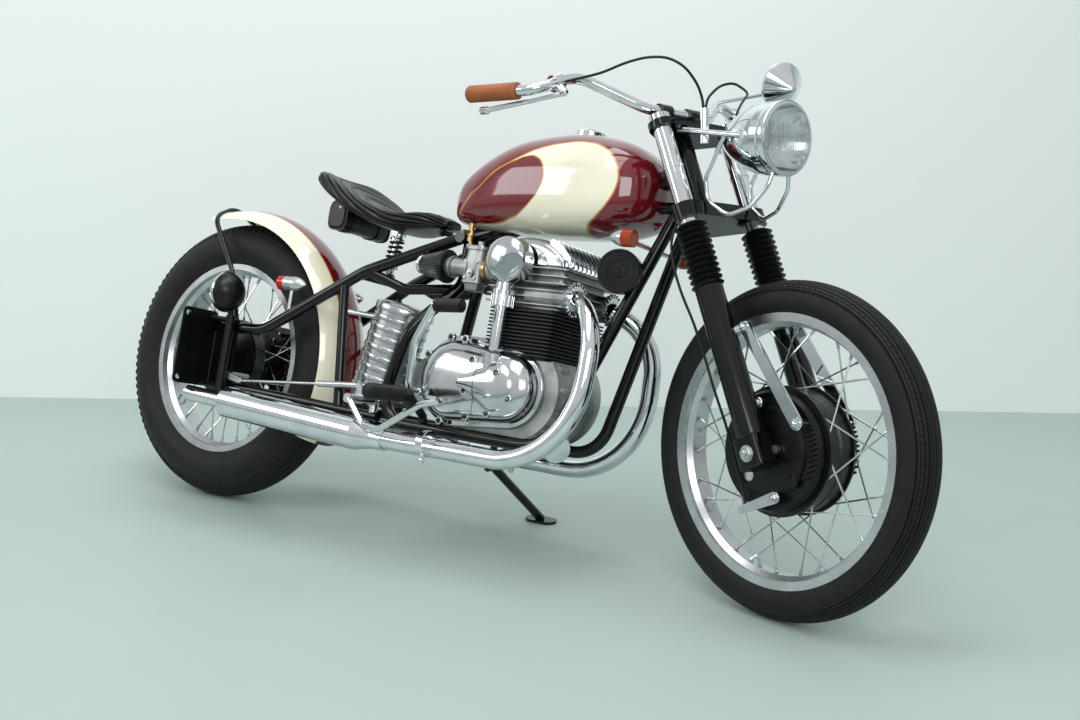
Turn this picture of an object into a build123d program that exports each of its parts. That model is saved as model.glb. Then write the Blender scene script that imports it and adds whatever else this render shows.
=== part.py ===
from build123d import *
import math
import os

# A bobber motorcycle with an upright parallel-twin engine, leaning on its side stand.
# Everything is drawn with the machine upright and its steering straight: X runs forward from the
# rear axle, Y to the left and Z up from the floor. The last section steers, leans and centres it.

os.makedirs("parts", exist_ok=True)

# Stance
wheelbase = 1460.0
rake_angle = 27.0
fork_lead = 45.0                # the fork legs stand this far ahead of the steering axis
park_lean = 14.96
park_steer = -16.87
half_width = 100.0              # of the frame's lower rails
cut_over = 5.0                  # how far a cutting tool overruns the piece that it cuts
seat_gap = 0.3                  # between pieces that bear on each other through a curved face

# Wheels
rear_tyre_radius = 329.0
rear_tyre_section = 62.0
rear_rim_radius = 229.4
rear_rim_half = 44.0
front_tyre_radius = 315.0
front_tyre_section = 40.0
front_rim_radius = 254.3
front_rim_half = 33.0
rim_wall = 3.5
rim_flange_height = 13.0
rim_well_depth = 9.0
tyre_wall = 9.0
spoke_radius = 1.8
spoke_count = 36
spoke_cross_angle = 38.0
axle_radius = 8.5
axle_clearance = 0.3

# Rear hub, with its drum on the right and its sprocket on the left
rear_hub_radius = 34.0
rear_hub_half = 38.0
rear_flange_radius = 66.0
rear_drum_radius = 96.0
rear_drum_width = 34.0
flange_thickness = 4.0
chain_pitch = 15.875
chain_width = 17.0
chain_line = 78.0               # of the chain's middle, left of the wheel's middle plane
plate_half_height = 7.0
sprocket_thickness = 6.0
tooth_reach = 4.0
tooth_gap = 1.5
rear_teeth = 36
engine_teeth = 15
hub_boss_radius = 42.0

# Front hub, with a brake panel on each side
front_hub_half = 40.0
front_drum_radius = 116.0
front_flange_radius = 121.0
front_flange_place = 34.0
panel_gap = 1.5
panel_width = 17.0
panel_radius = 112.0
panel_hat_radius = 84.0
panel_hat_width = 8.0

# Fork, measured up from the front axle along the legs
leg_spread = 95.0               # of each leg from the middle plane
stanchion_radius = 18.0
leg_radius = 27.0
leg_foot_length = 22.0
leg_top = 322.0
gaiter_top = 454.0
gaiter_root_radius = 22.0
gaiter_ridge_radius = 31.5
gaiter_folds = 11
lower_yoke_up = 465.0
yoke_thickness = 30.0
upper_yoke_up = 660.0
upper_yoke_thickness = 14.0
fork_cap_up = 688.0
yoke_boss_radius = 26.0
stem_radius = 13.0
shroud_radius = 18.6
fork_cap_radius = 20.5
shroud_ring_radius = 19.8
shroud_ring_up = 571.0
shroud_ring_height = 6.0
head_tube_radius = 25.0
head_bearing_gap = 1.0

# Frame tubes
backbone_radius = 22.0
rail_radius = 13.0
stay_radius = 11.0
cross_radius = 9.0

# Engine
crank_x = 880.0
crank_z = 352.0
crankcase_radius = 101.0
crankcase_half = 84.0
gearbox_x = 735.0
gearbox_z = 354.0
gearbox_radius = 96.0
output_x = 640.0
output_z = 340.0
output_radius = 58.0
output_side = 60.0              # the gearbox's left face, inside the chain
clutch_cover_radius = 94.0
crank_cover_radius = 80.0
cover_depth = 48.0
cover_step = 12.0
lip_step = 7.0                  # of the right cover's dome inside its bolted lip
lip_thickness = 8.0
lobe_rise = 11.0                # of the timing lobe proud of the cover
lobe_radius = 55.0
lobe_nose = 15.0
cylinder_x = 872.0
cylinder_half_length = 82.0
cylinder_half = 104.0
cylinder_foot = 418.0
cylinder_height = 104.0
cylinder_top = cylinder_foot + cylinder_height
cylinder_fins = 14
head_height = 90.0
head_top = cylinder_top + head_height
head_half_length = 98.0
head_fins = 6
fin_thickness = 2.6
fin_reach = 17.0
fin_corner = 16.0
cam_cover_height = 57.0
cam_cover_top = head_top + cam_cover_height
cam_cover_half = 96.0
tower_x = 833.0
tower_y = 116.0
tower_radius = 13.0


def spot(x_share, y_share, z_share):
    """A place on the frame, in shares of the wheelbase and of the frame's half width."""
    return (x_share * wheelbase, y_share * half_width, z_share * wheelbase)


def side_plane(y):
    """Upright plane at y to the left, drawn in X and Z, from which extrusions run to the right."""
    return Plane(origin=(0, y, 0), x_dir=(1, 0, 0), z_dir=(0, -1, 0))


def mirrored(points):
    """The same points on the motorcycle's other side."""
    return [(x, -y, z) for x, y, z in points]


def bent_tube(points, bends, radius, bore=0.0):
    """Round tube along straight runs joined by tangent arcs, hollow where it has a bore."""
    with BuildPart() as tube:
        with BuildLine() as path:
            FilletPolyline(*points, radius=bends)
        with BuildSketch(Plane(origin=path.line @ 0, z_dir=path.line % 0)):
            Circle(radius)
            if bore:
                Circle(bore, mode=Mode.SUBTRACT)
        sweep(path=path.line)
    return tube.part


def rod(start, end, radius, bore=0.0):
    """Straight round rod between two points."""
    reach = Vector(*end) - Vector(*start)
    with BuildPart() as bar:
        with BuildSketch(Plane(origin=start, z_dir=reach)):
            Circle(radius)
            if bore:
                Circle(bore, mode=Mode.SUBTRACT)
        extrude(amount=reach.length)
    return bar.part


def side_hull(circles, y_left, y_right):
    """Plate between two sides, its outline the hull of circles listed as x, z, radius."""
    with BuildPart() as plate:
        with BuildSketch(side_plane(y_left)):
            with BuildSketch(Plane.XY, mode=Mode.PRIVATE) as rings:
                for x, z, radius in circles:
                    with Locations((x, z)):
                        Circle(radius)
            make_hull(rings.sketch.edges())
        extrude(amount=y_left - y_right)
    return plate.part


def side_plate(points, y_left, y_right, corner=0.0):
    """Plate between two sides, its outline a polygon of x, z points with rounded corners."""
    with BuildPart() as plate:
        with BuildSketch(side_plane(y_left)) as outline:
            Polygon(*points, align=None)
            if corner:
                fillet(outline.vertices(), corner)
        extrude(amount=y_left - y_right)
    return plate.part


def dome_arc(rim_x, rim_radius, rise):
    """Three points of a spherical cap's outline, from its rim to its crown on the axis."""
    ball = (rim_radius**2 + rise**2) / (2 * abs(rise))
    half_turn = math.asin(rim_radius / ball) / 2
    toward = 1 if rise > 0 else -1
    middle_x = rim_x + rise - toward * ball * (1 - math.cos(half_turn))
    return (rim_x, rim_radius), (middle_x, ball * math.sin(half_turn)), (rim_x + rise, 0)


pieces = {}                     # every finished piece by its name
steering_names = []
front_wheel_names = []


def finish(name, part, group=None):
    """Name a finished piece and note which group it turns with."""
    part.label = name
    pieces[name] = part
    if not part.is_valid:
        print("INVALID", name)
    if group is not None:
        group.append(name)
    return part


# Front axle: its height follows from the parked lean and steering, so that the tyre meets the floor
sin_rake, cos_rake = math.sin(math.radians(rake_angle)), math.cos(math.radians(rake_angle))
sin_lean, cos_lean = math.sin(math.radians(park_lean)), math.cos(math.radians(park_lean))
sin_steer, cos_steer = math.sin(math.radians(park_steer)), math.cos(math.radians(park_steer))
rear_axle_height = (rear_tyre_radius - rear_tyre_section) * cos_lean + rear_tyre_section
axle_tilt = -cos_steer * sin_lean - sin_rake * sin_steer * cos_lean
front_contact_height = (
    (front_tyre_radius - front_tyre_section) * math.sqrt(1 - axle_tilt**2) + front_tyre_section
)
front_axle_z = (
    rear_tyre_radius
    + (front_contact_height - rear_axle_height + fork_lead * sin_steer * sin_lean) / cos_lean
    + fork_lead * sin_rake * (1 - cos_steer)
)
rear_axle = Vector(0, 0, rear_tyre_radius)
front_axle = Vector(wheelbase, 0, front_axle_z)
fork = Plane(origin=front_axle, x_dir=(cos_rake, 0, sin_rake), z_dir=(-sin_rake, 0, cos_rake))
steering_axis = Axis(fork.from_local_coords(Vector(-fork_lead, 0, 0)), fork.z_dir)


def on_fork(ahead, left, up):
    """A point in the fork's own frame: ahead of the legs, to the left, and up from the axle."""
    return fork.from_local_coords(Vector(ahead, left, up))


# Wheels
def make_tyre(centre, outer, section, rim_radius, rim_half):
    """Round-section tyre, hollow, whose beads sit inside the rim's flanges."""
    middle = outer - section
    bead = rim_radius - rim_flange_height
    bead_half = rim_half - rim_wall
    wall_foot = math.sqrt(section**2 - (middle - rim_radius) ** 2)
    inner = section - tyre_wall
    inner_foot = math.sqrt(inner**2 - (middle - rim_radius) ** 2)
    with BuildPart() as tyre:
        with BuildSketch(Plane(origin=centre, x_dir=(1, 0, 0), z_dir=(0, 0, 1))):
            with BuildLine():
                crown = ThreePointArc((rim_radius, wall_foot), (outer, 0), (rim_radius, -wall_foot))
                Polyline(
                    crown @ 1,
                    (rim_radius, -bead_half),
                    (bead, -bead_half),
                    (bead, -bead_half + tyre_wall),
                    (rim_radius, -inner_foot),
                )
                ThreePointArc(
                    (rim_radius, -inner_foot), (outer - tyre_wall, 0), (rim_radius, inner_foot)
                )
                Polyline(
                    (rim_radius, inner_foot),
                    (bead, bead_half - tyre_wall),
                    (bead, bead_half),
                    (rim_radius, bead_half),
                    crown @ 0,
                )
            make_face()
        revolve(axis=Axis(centre, (0, 1, 0)))
    return tyre.part


def make_rim(centre, rim_radius, rim_half):
    """Rolled rim with two flanges, two bead seats and a well between them."""
    seat = rim_radius - rim_flange_height
    well = seat - rim_well_depth
    outer_half = rim_half
    inner_half = rim_half - rim_wall
    well_half = inner_half / 2
    with BuildPart() as rim:
        with BuildSketch(Plane(origin=centre, x_dir=(1, 0, 0), z_dir=(0, 0, 1))):
            Polygon(
                (rim_radius, outer_half),
                (rim_radius, inner_half),
                (seat, inner_half),
                (seat, well_half + rim_well_depth),
                (well, well_half),
                (well, -well_half),
                (seat, -well_half - rim_well_depth),
                (seat, -inner_half),
                (rim_radius, -inner_half),
                (rim_radius, -outer_half),
                (seat - rim_wall, -outer_half),
                (seat - rim_wall, -well_half - rim_well_depth),
                (well - rim_wall, -well_half),
                (well - rim_wall, well_half),
                (seat - rim_wall, well_half + rim_well_depth),
                (seat - rim_wall, outer_half),
                align=None,
            )
        revolve(axis=Axis(centre, (0, 1, 0)))
    return rim.part


def make_spokes(centre, flange_radius, flange_places, rim_radius):
    """Crossed spokes from the two hub flanges to just inside the rim's well."""
    end_radius = rim_radius - rim_flange_height - rim_well_depth - rim_wall - spoke_radius * 0.8
    spokes = []
    for index in range(spoke_count):
        left = index % 2
        lead = 1 if (index // 2) % 2 else -1
        hub_angle = math.radians(360 * index / spoke_count)
        rim_angle = hub_angle + lead * math.radians(spoke_cross_angle)
        start = Vector(
            flange_radius * math.cos(hub_angle), flange_places[left], flange_radius * math.sin(hub_angle)
        )
        end = Vector(end_radius * math.cos(rim_angle), 0, end_radius * math.sin(rim_angle))
        with BuildPart() as spoke:
            with BuildSketch(Plane(origin=centre + start, z_dir=end - start)):
                RegularPolygon(spoke_radius, 6)
            extrude(amount=(end - start).length)
        spokes.append(spoke.part)
    return spokes


def sprocket_profile(teeth):
    """Outline of a chain sprocket: straight-sided teeth that stand past the pitch circle."""
    pitch_radius = chain_pitch / 2 / math.sin(math.pi / teeth)
    root = pitch_radius - tooth_reach
    tip = pitch_radius + tooth_reach
    points = []
    for tooth in range(teeth):
        for radius, turn_share in ((root, 0.0), (root, 0.3), (tip, 0.55), (tip, 0.75)):
            angle = 2 * math.pi * (tooth + turn_share) / teeth
            points.append((radius * math.cos(angle), radius * math.sin(angle)))
    return points, pitch_radius


def revolve_about(centre, profile, group=None):
    """Solid of revolution about a wheel's axle, from a profile of radius and distance to the left."""
    with BuildPart() as solid:
        with BuildSketch(Plane(origin=centre, x_dir=(1, 0, 0), z_dir=(0, 0, 1))):
            Polygon(*profile, align=None)
        revolve(axis=Axis(centre, (0, 1, 0)))
    return solid.part


finish("rear_tyre", make_tyre(
    rear_axle, rear_tyre_radius, rear_tyre_section, rear_rim_radius, rear_rim_half))
finish("rear_rim", make_rim(rear_axle, rear_rim_radius, rear_rim_half))
finish("front_tyre", make_tyre(
    front_axle, front_tyre_radius, front_tyre_section, front_rim_radius, front_rim_half),
    front_wheel_names)
finish("front_rim", make_rim(front_axle, front_rim_radius, front_rim_half), front_wheel_names)

hub_bore = axle_radius + axle_clearance
sprocket_side = chain_line - sprocket_thickness / 2
rear_hub_profile = [
    (hub_bore, sprocket_side),
    (hub_boss_radius, sprocket_side),
    (hub_boss_radius, rear_hub_half),
    (rear_flange_radius, rear_hub_half),
    (rear_flange_radius, rear_hub_half - flange_thickness),
    (rear_hub_radius, rear_hub_half - flange_thickness),
    (rear_hub_radius, rear_drum_width - rear_hub_half),
    (rear_drum_radius, rear_drum_width - rear_hub_half),
    (rear_drum_radius, -rear_hub_half),
    (hub_bore, -rear_hub_half),
]
with BuildPart() as rear_hub:
    add(revolve_about(rear_axle, rear_hub_profile))
    add(make_spokes(
        rear_axle,
        rear_flange_radius - flange_thickness,
        (rear_drum_width / 2 - rear_hub_half, rear_hub_half - flange_thickness / 2),
        rear_rim_radius,
    ))
finish("rear_hub", rear_hub.part)

rear_teeth_points, rear_pitch_radius = sprocket_profile(rear_teeth)
with BuildPart() as rear_sprocket:
    with BuildSketch(Plane(origin=rear_axle + Vector(0, chain_line + sprocket_thickness / 2, 0),
                           x_dir=(1, 0, 0), z_dir=(0, -1, 0))):
        Polygon(*rear_teeth_points, align=None)
        Circle(hub_bore, mode=Mode.SUBTRACT)
        with PolarLocations((rear_pitch_radius + hub_boss_radius) / 2, 6):
            Circle(hub_boss_radius / 4, mode=Mode.SUBTRACT)
    extrude(amount=sprocket_thickness)
finish("rear_sprocket", rear_sprocket.part)

front_hub_profile = [
    (hub_bore, front_hub_half),
    (front_drum_radius, front_hub_half),
    (front_drum_radius, front_flange_place + flange_thickness / 2),
    (front_flange_radius, front_flange_place + flange_thickness / 2),
    (front_flange_radius, front_flange_place - flange_thickness / 2),
    (front_drum_radius, front_flange_place - flange_thickness / 2),
    (front_drum_radius, flange_thickness),
    (front_drum_radius - flange_thickness, 0),
]
front_hub_profile += [(radius, -side) for radius, side in reversed(front_hub_profile[:-1])]
with BuildPart() as front_hub:
    add(revolve_about(front_axle, front_hub_profile))
    add(make_spokes(
        front_axle,
        front_flange_radius - flange_thickness,
        (-front_flange_place, front_flange_place),
        front_rim_radius,
    ))
finish("front_hub", front_hub.part, front_wheel_names)

# Chain
engine_pitch_radius = chain_pitch / 2 / math.sin(math.pi / engine_teeth)


def chain_ring(offset, y_left, y_right):
    """The plate that the chain's loop would fill, its outline set off from the pitch line."""
    return side_hull(
        [
            (rear_axle.X, rear_axle.Z, rear_pitch_radius + offset),
            (output_x, output_z, engine_pitch_radius + offset),
        ],
        y_left,
        y_right,
    )


chain_left, chain_right = chain_line + chain_width / 2, chain_line - chain_width / 2
groove_half = sprocket_thickness / 2 + tooth_gap / 2
with BuildPart() as chain:
    add(chain_ring(plate_half_height, chain_left, chain_right))
    add(chain_ring(-plate_half_height, chain_left + cut_over, chain_right - cut_over), mode=Mode.SUBTRACT)
    add(
        chain_ring(tooth_reach + tooth_gap, chain_line + groove_half, chain_line - groove_half),
        mode=Mode.SUBTRACT,
    )
finish("drive_chain", chain.part)

# Frame
head_low, head_high = lower_yoke_up + yoke_thickness + head_bearing_gap, upper_yoke_up - head_bearing_gap
head_point = on_fork(-fork_lead, 0, head_low + (head_high - head_low) * 0.62)
backbone_rear = Vector(*spot(0.449, 0, 0.457))
with BuildPart() as backbone:
    add(rod(on_fork(-fork_lead, 0, head_low), on_fork(-fork_lead, 0, head_high), head_tube_radius))
    add(rod(tuple(head_point), tuple(backbone_rear), backbone_radius))
    add(rod(tuple(on_fork(-fork_lead, 0, head_low + backbone_radius)), spot(0.66, 0, 0.515), rail_radius))
    add(rod(spot(0.449, 0.62, 0.453), spot(0.449, -0.62, 0.453), rail_radius))
    add(
        rod(
            tuple(on_fork(-fork_lead, 0, head_low - cut_over)),
            tuple(on_fork(-fork_lead, 0, head_high + cut_over)),
            stem_radius + seat_gap,
        ),
        mode=Mode.SUBTRACT,
    )
finish("backbone", backbone.part)

# Each side's cradle runs from the head down, under the engine and up behind it
cradle_shares = [
    (0.791, -0.26, 0.5128), (0.675, -1.0, 0.168), (0.373, -1.02, 0.168), (0.404, -1.02, 0.305),
    (0.452, -0.28, 0.384), (0.452, -0.28, 0.445),
]
cradle_bends = [90.0, 60.0, 120.0, 45.0]
# The seat rail runs from behind the tank to the rear axle plate
seat_rail_shares = [(0.447, -0.47, 0.452), (0.295, -0.88, 0.385), (0.125, -1.14, 0.276), (0.026, -1.19, 0.272)]
seat_rail_bends = [180.0, 80.0]
axle_plate_shares = [(-0.026, 0.203), (-0.026, 0.245), (0.014, 0.283), (0.066, 0.283), (0.069, 0.172), (0.045, 0.172)]
axle_plate_thickness = 8.0
axle_plate_place = 108.0
lower_stay_shares = [(0.055, -1.12, 0.181), (0.375, -1.02, 0.172)]
upright_shares = [(0.263, -0.93, 0.362), (0.298, -1.06, 0.178)]
bridge_shares = [(0.300, -0.86, 0.387), (0.365, -0.62, 0.366), (0.446, -0.31, 0.377)]
for side, name in ((1, "right"), (-1, "left")):
    cradle_points = [spot(x, y * side, z) for x, y, z in cradle_shares]
    cradle = bent_tube(cradle_points, cradle_bends, rail_radius) - backbone.part
    cradle = cradle.solids().sort_by(SortBy.VOLUME)[-1]
    with BuildPart() as side_cradle:
        add(cradle)
    finish(f"{name}_cradle", side_cradle.part)
    inner_face = -side * axle_plate_place
    with BuildPart() as side_stay:
        add(bent_tube([spot(x, y * side, z) for x, y, z in seat_rail_shares], seat_rail_bends, rail_radius))
        add(rod(*[spot(x, y * side, z) for x, y, z in lower_stay_shares], stay_radius))
        add(rod(*[spot(x, y * side, z) for x, y, z in upright_shares], stay_radius))
        add(bent_tube([spot(x, y * side, z) for x, y, z in bridge_shares], [stay_radius * 6], stay_radius))
        add(
            side_plate(
                [(x * wheelbase, z * wheelbase) for x, z in axle_plate_shares],
                max(inner_face, inner_face - side * axle_plate_thickness),
                min(inner_face, inner_face - side * axle_plate_thickness),
                rail_radius,
            )
        )
        add(side_cradle.part, mode=Mode.SUBTRACT)
        add(backbone.part, mode=Mode.SUBTRACT)
        add(
            rod(
                (rear_axle.X, -half_width - half_width / 2, rear_axle.Z),
                (rear_axle.X, half_width + half_width / 2, rear_axle.Z),
                axle_radius,
            ),
            mode=Mode.SUBTRACT,
        )
    finish(f"{name}_rear_frame", side_stay.part)

# Engine: crankcase with the gearbox behind it, the output sprocket on its left
with BuildPart() as deck_space:
    with BuildSketch(Plane.XY.offset(cylinder_foot)):
        with Locations((cylinder_x, 0)):
            Rectangle(2 * cylinder_half_length + 2 * seat_gap, 2 * cylinder_half + 2 * seat_gap)
    extrude(amount=cylinder_top - cylinder_foot)
with BuildPart() as output_sprocket:
    with BuildSketch(side_plane(chain_line + sprocket_thickness / 2)):
        with Locations((output_x, output_z)):
            Polygon(*sprocket_profile(engine_teeth)[0], align=None)
    extrude(amount=sprocket_thickness)
with BuildPart() as crankcase:
    add(side_hull([(crank_x, crank_z, crankcase_radius), (gearbox_x, gearbox_z, gearbox_radius)],
                  crankcase_half, -crankcase_half))
    with BuildSketch(Plane.XY.offset(crank_z)):
        with Locations((cylinder_x, 0)):
            RectangleRounded(2 * cylinder_half_length, 2 * crankcase_half - cover_step, fin_corner)
    extrude(amount=cylinder_foot - crank_z)
    add(deck_space.part, mode=Mode.SUBTRACT)
    add(chain_ring(plate_half_height + cut_over, chain_left + cut_over * 2, output_side), mode=Mode.SUBTRACT)
    add(side_hull([(gearbox_x, gearbox_z, gearbox_radius - cover_step), (output_x, output_z, output_radius)],
                  output_side, -output_side))
    add(rod((output_x, output_side, output_z), (output_x, chain_line, output_z), engine_pitch_radius / 2))
    add(output_sprocket.part)
finish("crankcase", crankcase.part)

with BuildPart() as right_cover:
    add(side_hull([(gearbox_x, gearbox_z, clutch_cover_radius - lip_step),
                   (crank_x - cover_step, crank_z, crank_cover_radius - lip_step)],
                  -crankcase_half, -crankcase_half - cover_depth))
    fillet(right_cover.faces().sort_by(Axis.Y)[0].edges(), cover_depth / 3)
    add(side_hull([(gearbox_x, gearbox_z, clutch_cover_radius), (crank_x - cover_step, crank_z, crank_cover_radius)],
                  -crankcase_half, -crankcase_half - lip_thickness))
    lobe_face = -crankcase_half - cover_depth
    with BuildPart(mode=Mode.PRIVATE) as lobe:
        add(side_hull([((gearbox_x + crank_x) / 2 - lobe_nose * 2, crank_z, lobe_nose),
                       (crank_x - 2 * cover_step, crank_z, lobe_radius)],
                      lobe_face + lobe_rise, lobe_face - lobe_rise))
        fillet(lobe.faces().sort_by(Axis.Y)[0].edges(), lobe_rise * 0.9)
    add(lobe.part)
    add(rod((tower_x, -tower_y, crank_z), (tower_x, -tower_y, cylinder_foot), tower_radius * 1.6))
    add(deck_space.part, mode=Mode.SUBTRACT)
finish("right_engine_cover", right_cover.part)

with BuildPart() as left_cover:
    add(side_hull([(crank_x, crank_z, crank_cover_radius), (output_x, output_z, output_radius)],
                  crankcase_half + cover_depth * 0.8, crankcase_half))
    fillet(left_cover.faces().sort_by(Axis.Y)[-1].edges(), cover_depth / 4)
    add(chain_ring(plate_half_height * 2, chain_left + plate_half_height, crankcase_half - cut_over),
        mode=Mode.SUBTRACT)
    add(deck_space.part, mode=Mode.SUBTRACT)
finish("left_engine_cover", left_cover.part)

# Cylinder block: a core with thin square fins round it
with BuildPart() as cylinder_block:
    with BuildSketch(Plane.XY.offset(cylinder_foot)):
        with Locations((cylinder_x, 0)):
            RectangleRounded(2 * (cylinder_half_length - fin_reach), 2 * (cylinder_half - fin_reach), fin_corner)
    extrude(amount=cylinder_top - cylinder_foot)
    fin_pitch = (cylinder_top - cylinder_foot) / cylinder_fins
    for index in range(1, cylinder_fins):
        with BuildSketch(Plane.XY.offset(cylinder_foot + index * fin_pitch - fin_thickness / 2)):
            with Locations((cylinder_x, 0)):
                RectangleRounded(2 * cylinder_half_length, 2 * cylinder_half, fin_corner)
        extrude(amount=fin_thickness)
finish("cylinder_block", cylinder_block.part)

port_boss_radius = 27.0
collar_radius = 35.0
collar_thickness = 9.0
collar_fins = 20
port_z = cylinder_top + port_boss_radius
port_y = 72.0
pipe_radius = 19.5
pipe_bore = 17.5
intake_drop = 20.0              # of the inlet below the head's top
intake_z = head_top - intake_drop
intake_y = 78.0
throat_radius = 19.0
head_front = cylinder_x + head_half_length
head_rear = cylinder_x - head_half_length
with BuildPart() as head_core:
    with BuildSketch(Plane.XY.offset(cylinder_top)):
        with Locations((cylinder_x, 0)):
            RectangleRounded(2 * (head_half_length - fin_reach), 2 * (cylinder_half - fin_reach), fin_corner)
    extrude(amount=head_top - cylinder_top)
head_pitch = (head_top - cylinder_top) / head_fins
head_parts = [
    rod((head_front + cut_over, side * port_y, port_z), (cylinder_x, side * port_y, port_z), port_boss_radius)
    for side in (-1, 1)
]
head_parts += [
    rod((head_rear - cut_over, side * intake_y, intake_z), (cylinder_x, side * intake_y, intake_z),
        throat_radius)
    for side in (-1, 1)
]
for index in range(head_fins):
    with BuildPart() as head_fin:
        with BuildSketch(Plane.XY.offset(cylinder_top + (index + 0.5) * head_pitch - fin_thickness / 2)):
            with Locations((cylinder_x, 0)):
                RectangleRounded(2 * head_half_length, 2 * cylinder_half, fin_corner)
        extrude(amount=fin_thickness)
    head_parts.append(head_fin.part)
with BuildPart() as cylinder_head:
    add(head_core.part)
    add(head_parts)
    for side in (-1, 1):
        add(rod((head_front - fin_reach, side * port_y, port_z),
                (head_front + 2 * cut_over, side * port_y, port_z), pipe_bore), mode=Mode.SUBTRACT)
finish("cylinder_head", cylinder_head.part)

# Cam cover: a long dome over each camshaft bearing, rounded front to back
cam_ribs = 11
cam_rib_spread_share = 0.97
cam_rib_shares = [(0.30, 0.6), (0.34, 1.04), (0.52, 0.96), (0.99, 0.30), (0.99, 0.03), (0.80, 0.03)]
cam_cover_shares = [(-0.86, 0), (-0.86, 0.3), (-0.45, 1.0), (0.2, 1.0), (0.86, 0.25), (0.86, 0)]
with BuildPart() as cam_cover:
    with BuildSketch(side_plane(cam_cover_half)) as cam_outline:
        Polygon(*[(cylinder_x + x * head_half_length, head_top + z * cam_cover_height)
                  for x, z in cam_cover_shares], align=None)
        fillet(cam_outline.vertices().group_by(Axis.Y)[-1], fin_corner)
    extrude(amount=2 * cam_cover_half)
    for index in range(cam_ribs):
        rib_y = cam_cover_half * (1 - 2 * index / (cam_ribs - 1)) * cam_rib_spread_share
        add(side_plate([(cylinder_x + x * head_half_length, head_top + z * cam_cover_height)
                        for x, z in cam_rib_shares], rib_y + fin_thickness / 2, rib_y - fin_thickness / 2))
finish("cam_cover", cam_cover.part)

bevel_cover_radius = 47.0
bevel_x = tower_x + 6.0
bevel_z = head_top - 1.0
collar_low, collar_high = cylinder_top - 6.0, cylinder_top + 27.0
collar_groove = 2.5
collar_grooves = 16
with BuildPart() as tower:
    add(rod((tower_x, -tower_y, cylinder_foot), (tower_x, -tower_y, bevel_z), tower_radius))
    add(rod((tower_x, -tower_y, collar_low), (tower_x, -tower_y, bevel_z), tower_radius * 1.4))
    add(rod((tower_x, -tower_y, collar_low), (tower_x, -tower_y, collar_high), tower_radius * 1.8))
    with BuildSketch(Plane.XY.offset(collar_low)):
        with Locations((tower_x, -tower_y)):
            with PolarLocations(tower_radius * 1.8, collar_grooves):
                Circle(collar_groove)
    extrude(amount=(collar_high - collar_low) * 0.7, mode=Mode.SUBTRACT)
    add(rod((bevel_x, -cylinder_half, bevel_z), (bevel_x, -tower_y - 2 * tower_radius, bevel_z),
            bevel_cover_radius))
    fillet(tower.faces().sort_by(Axis.Y)[0].edges(), tower_radius)
    add(cylinder_head.part, mode=Mode.SUBTRACT)
    add(cylinder_block.part, mode=Mode.SUBTRACT)
    add(cam_cover.part, mode=Mode.SUBTRACT)
    add(right_cover.part, mode=Mode.SUBTRACT)
finish("cam_drive_tower", tower.part.solids().sort_by(SortBy.VOLUME)[-1])

# Carburettors with their cone filters
carb_x = 728.0
carb_height = 100.0
carb_radius = 24.0
filter_length = 76.0
filter_big_radius = 36.0
filter_small_radius = 20.0
filter_x = 655.0
carb_nodes, filter_nodes = [], []
for side in (-1, 1):
    with BuildPart() as carb:
        add(rod((carb_x, side * intake_y, intake_z - carb_height / 2),
                (carb_x, side * intake_y, intake_z + carb_height / 2), carb_radius))
        add(rod((filter_x, side * intake_y, intake_z), (head_rear - cut_over, side * intake_y, intake_z),
                throat_radius))
    carb_nodes += carb.part.solids()
    with BuildPart() as air_filter:
        with BuildSketch(Plane(origin=(filter_x, side * intake_y, intake_z), z_dir=(-1, 0, 0))):
            Circle(filter_big_radius)
        with BuildSketch(Plane(origin=(filter_x - filter_length, side * intake_y, intake_z),
                               z_dir=(-1, 0, 0))):
            Circle(filter_small_radius)
        loft(ruled=True)
    filter_nodes += air_filter.part.solids()
finish("carburettors", Compound(children=carb_nodes))
finish("air_filters", Compound(children=filter_nodes))

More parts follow.
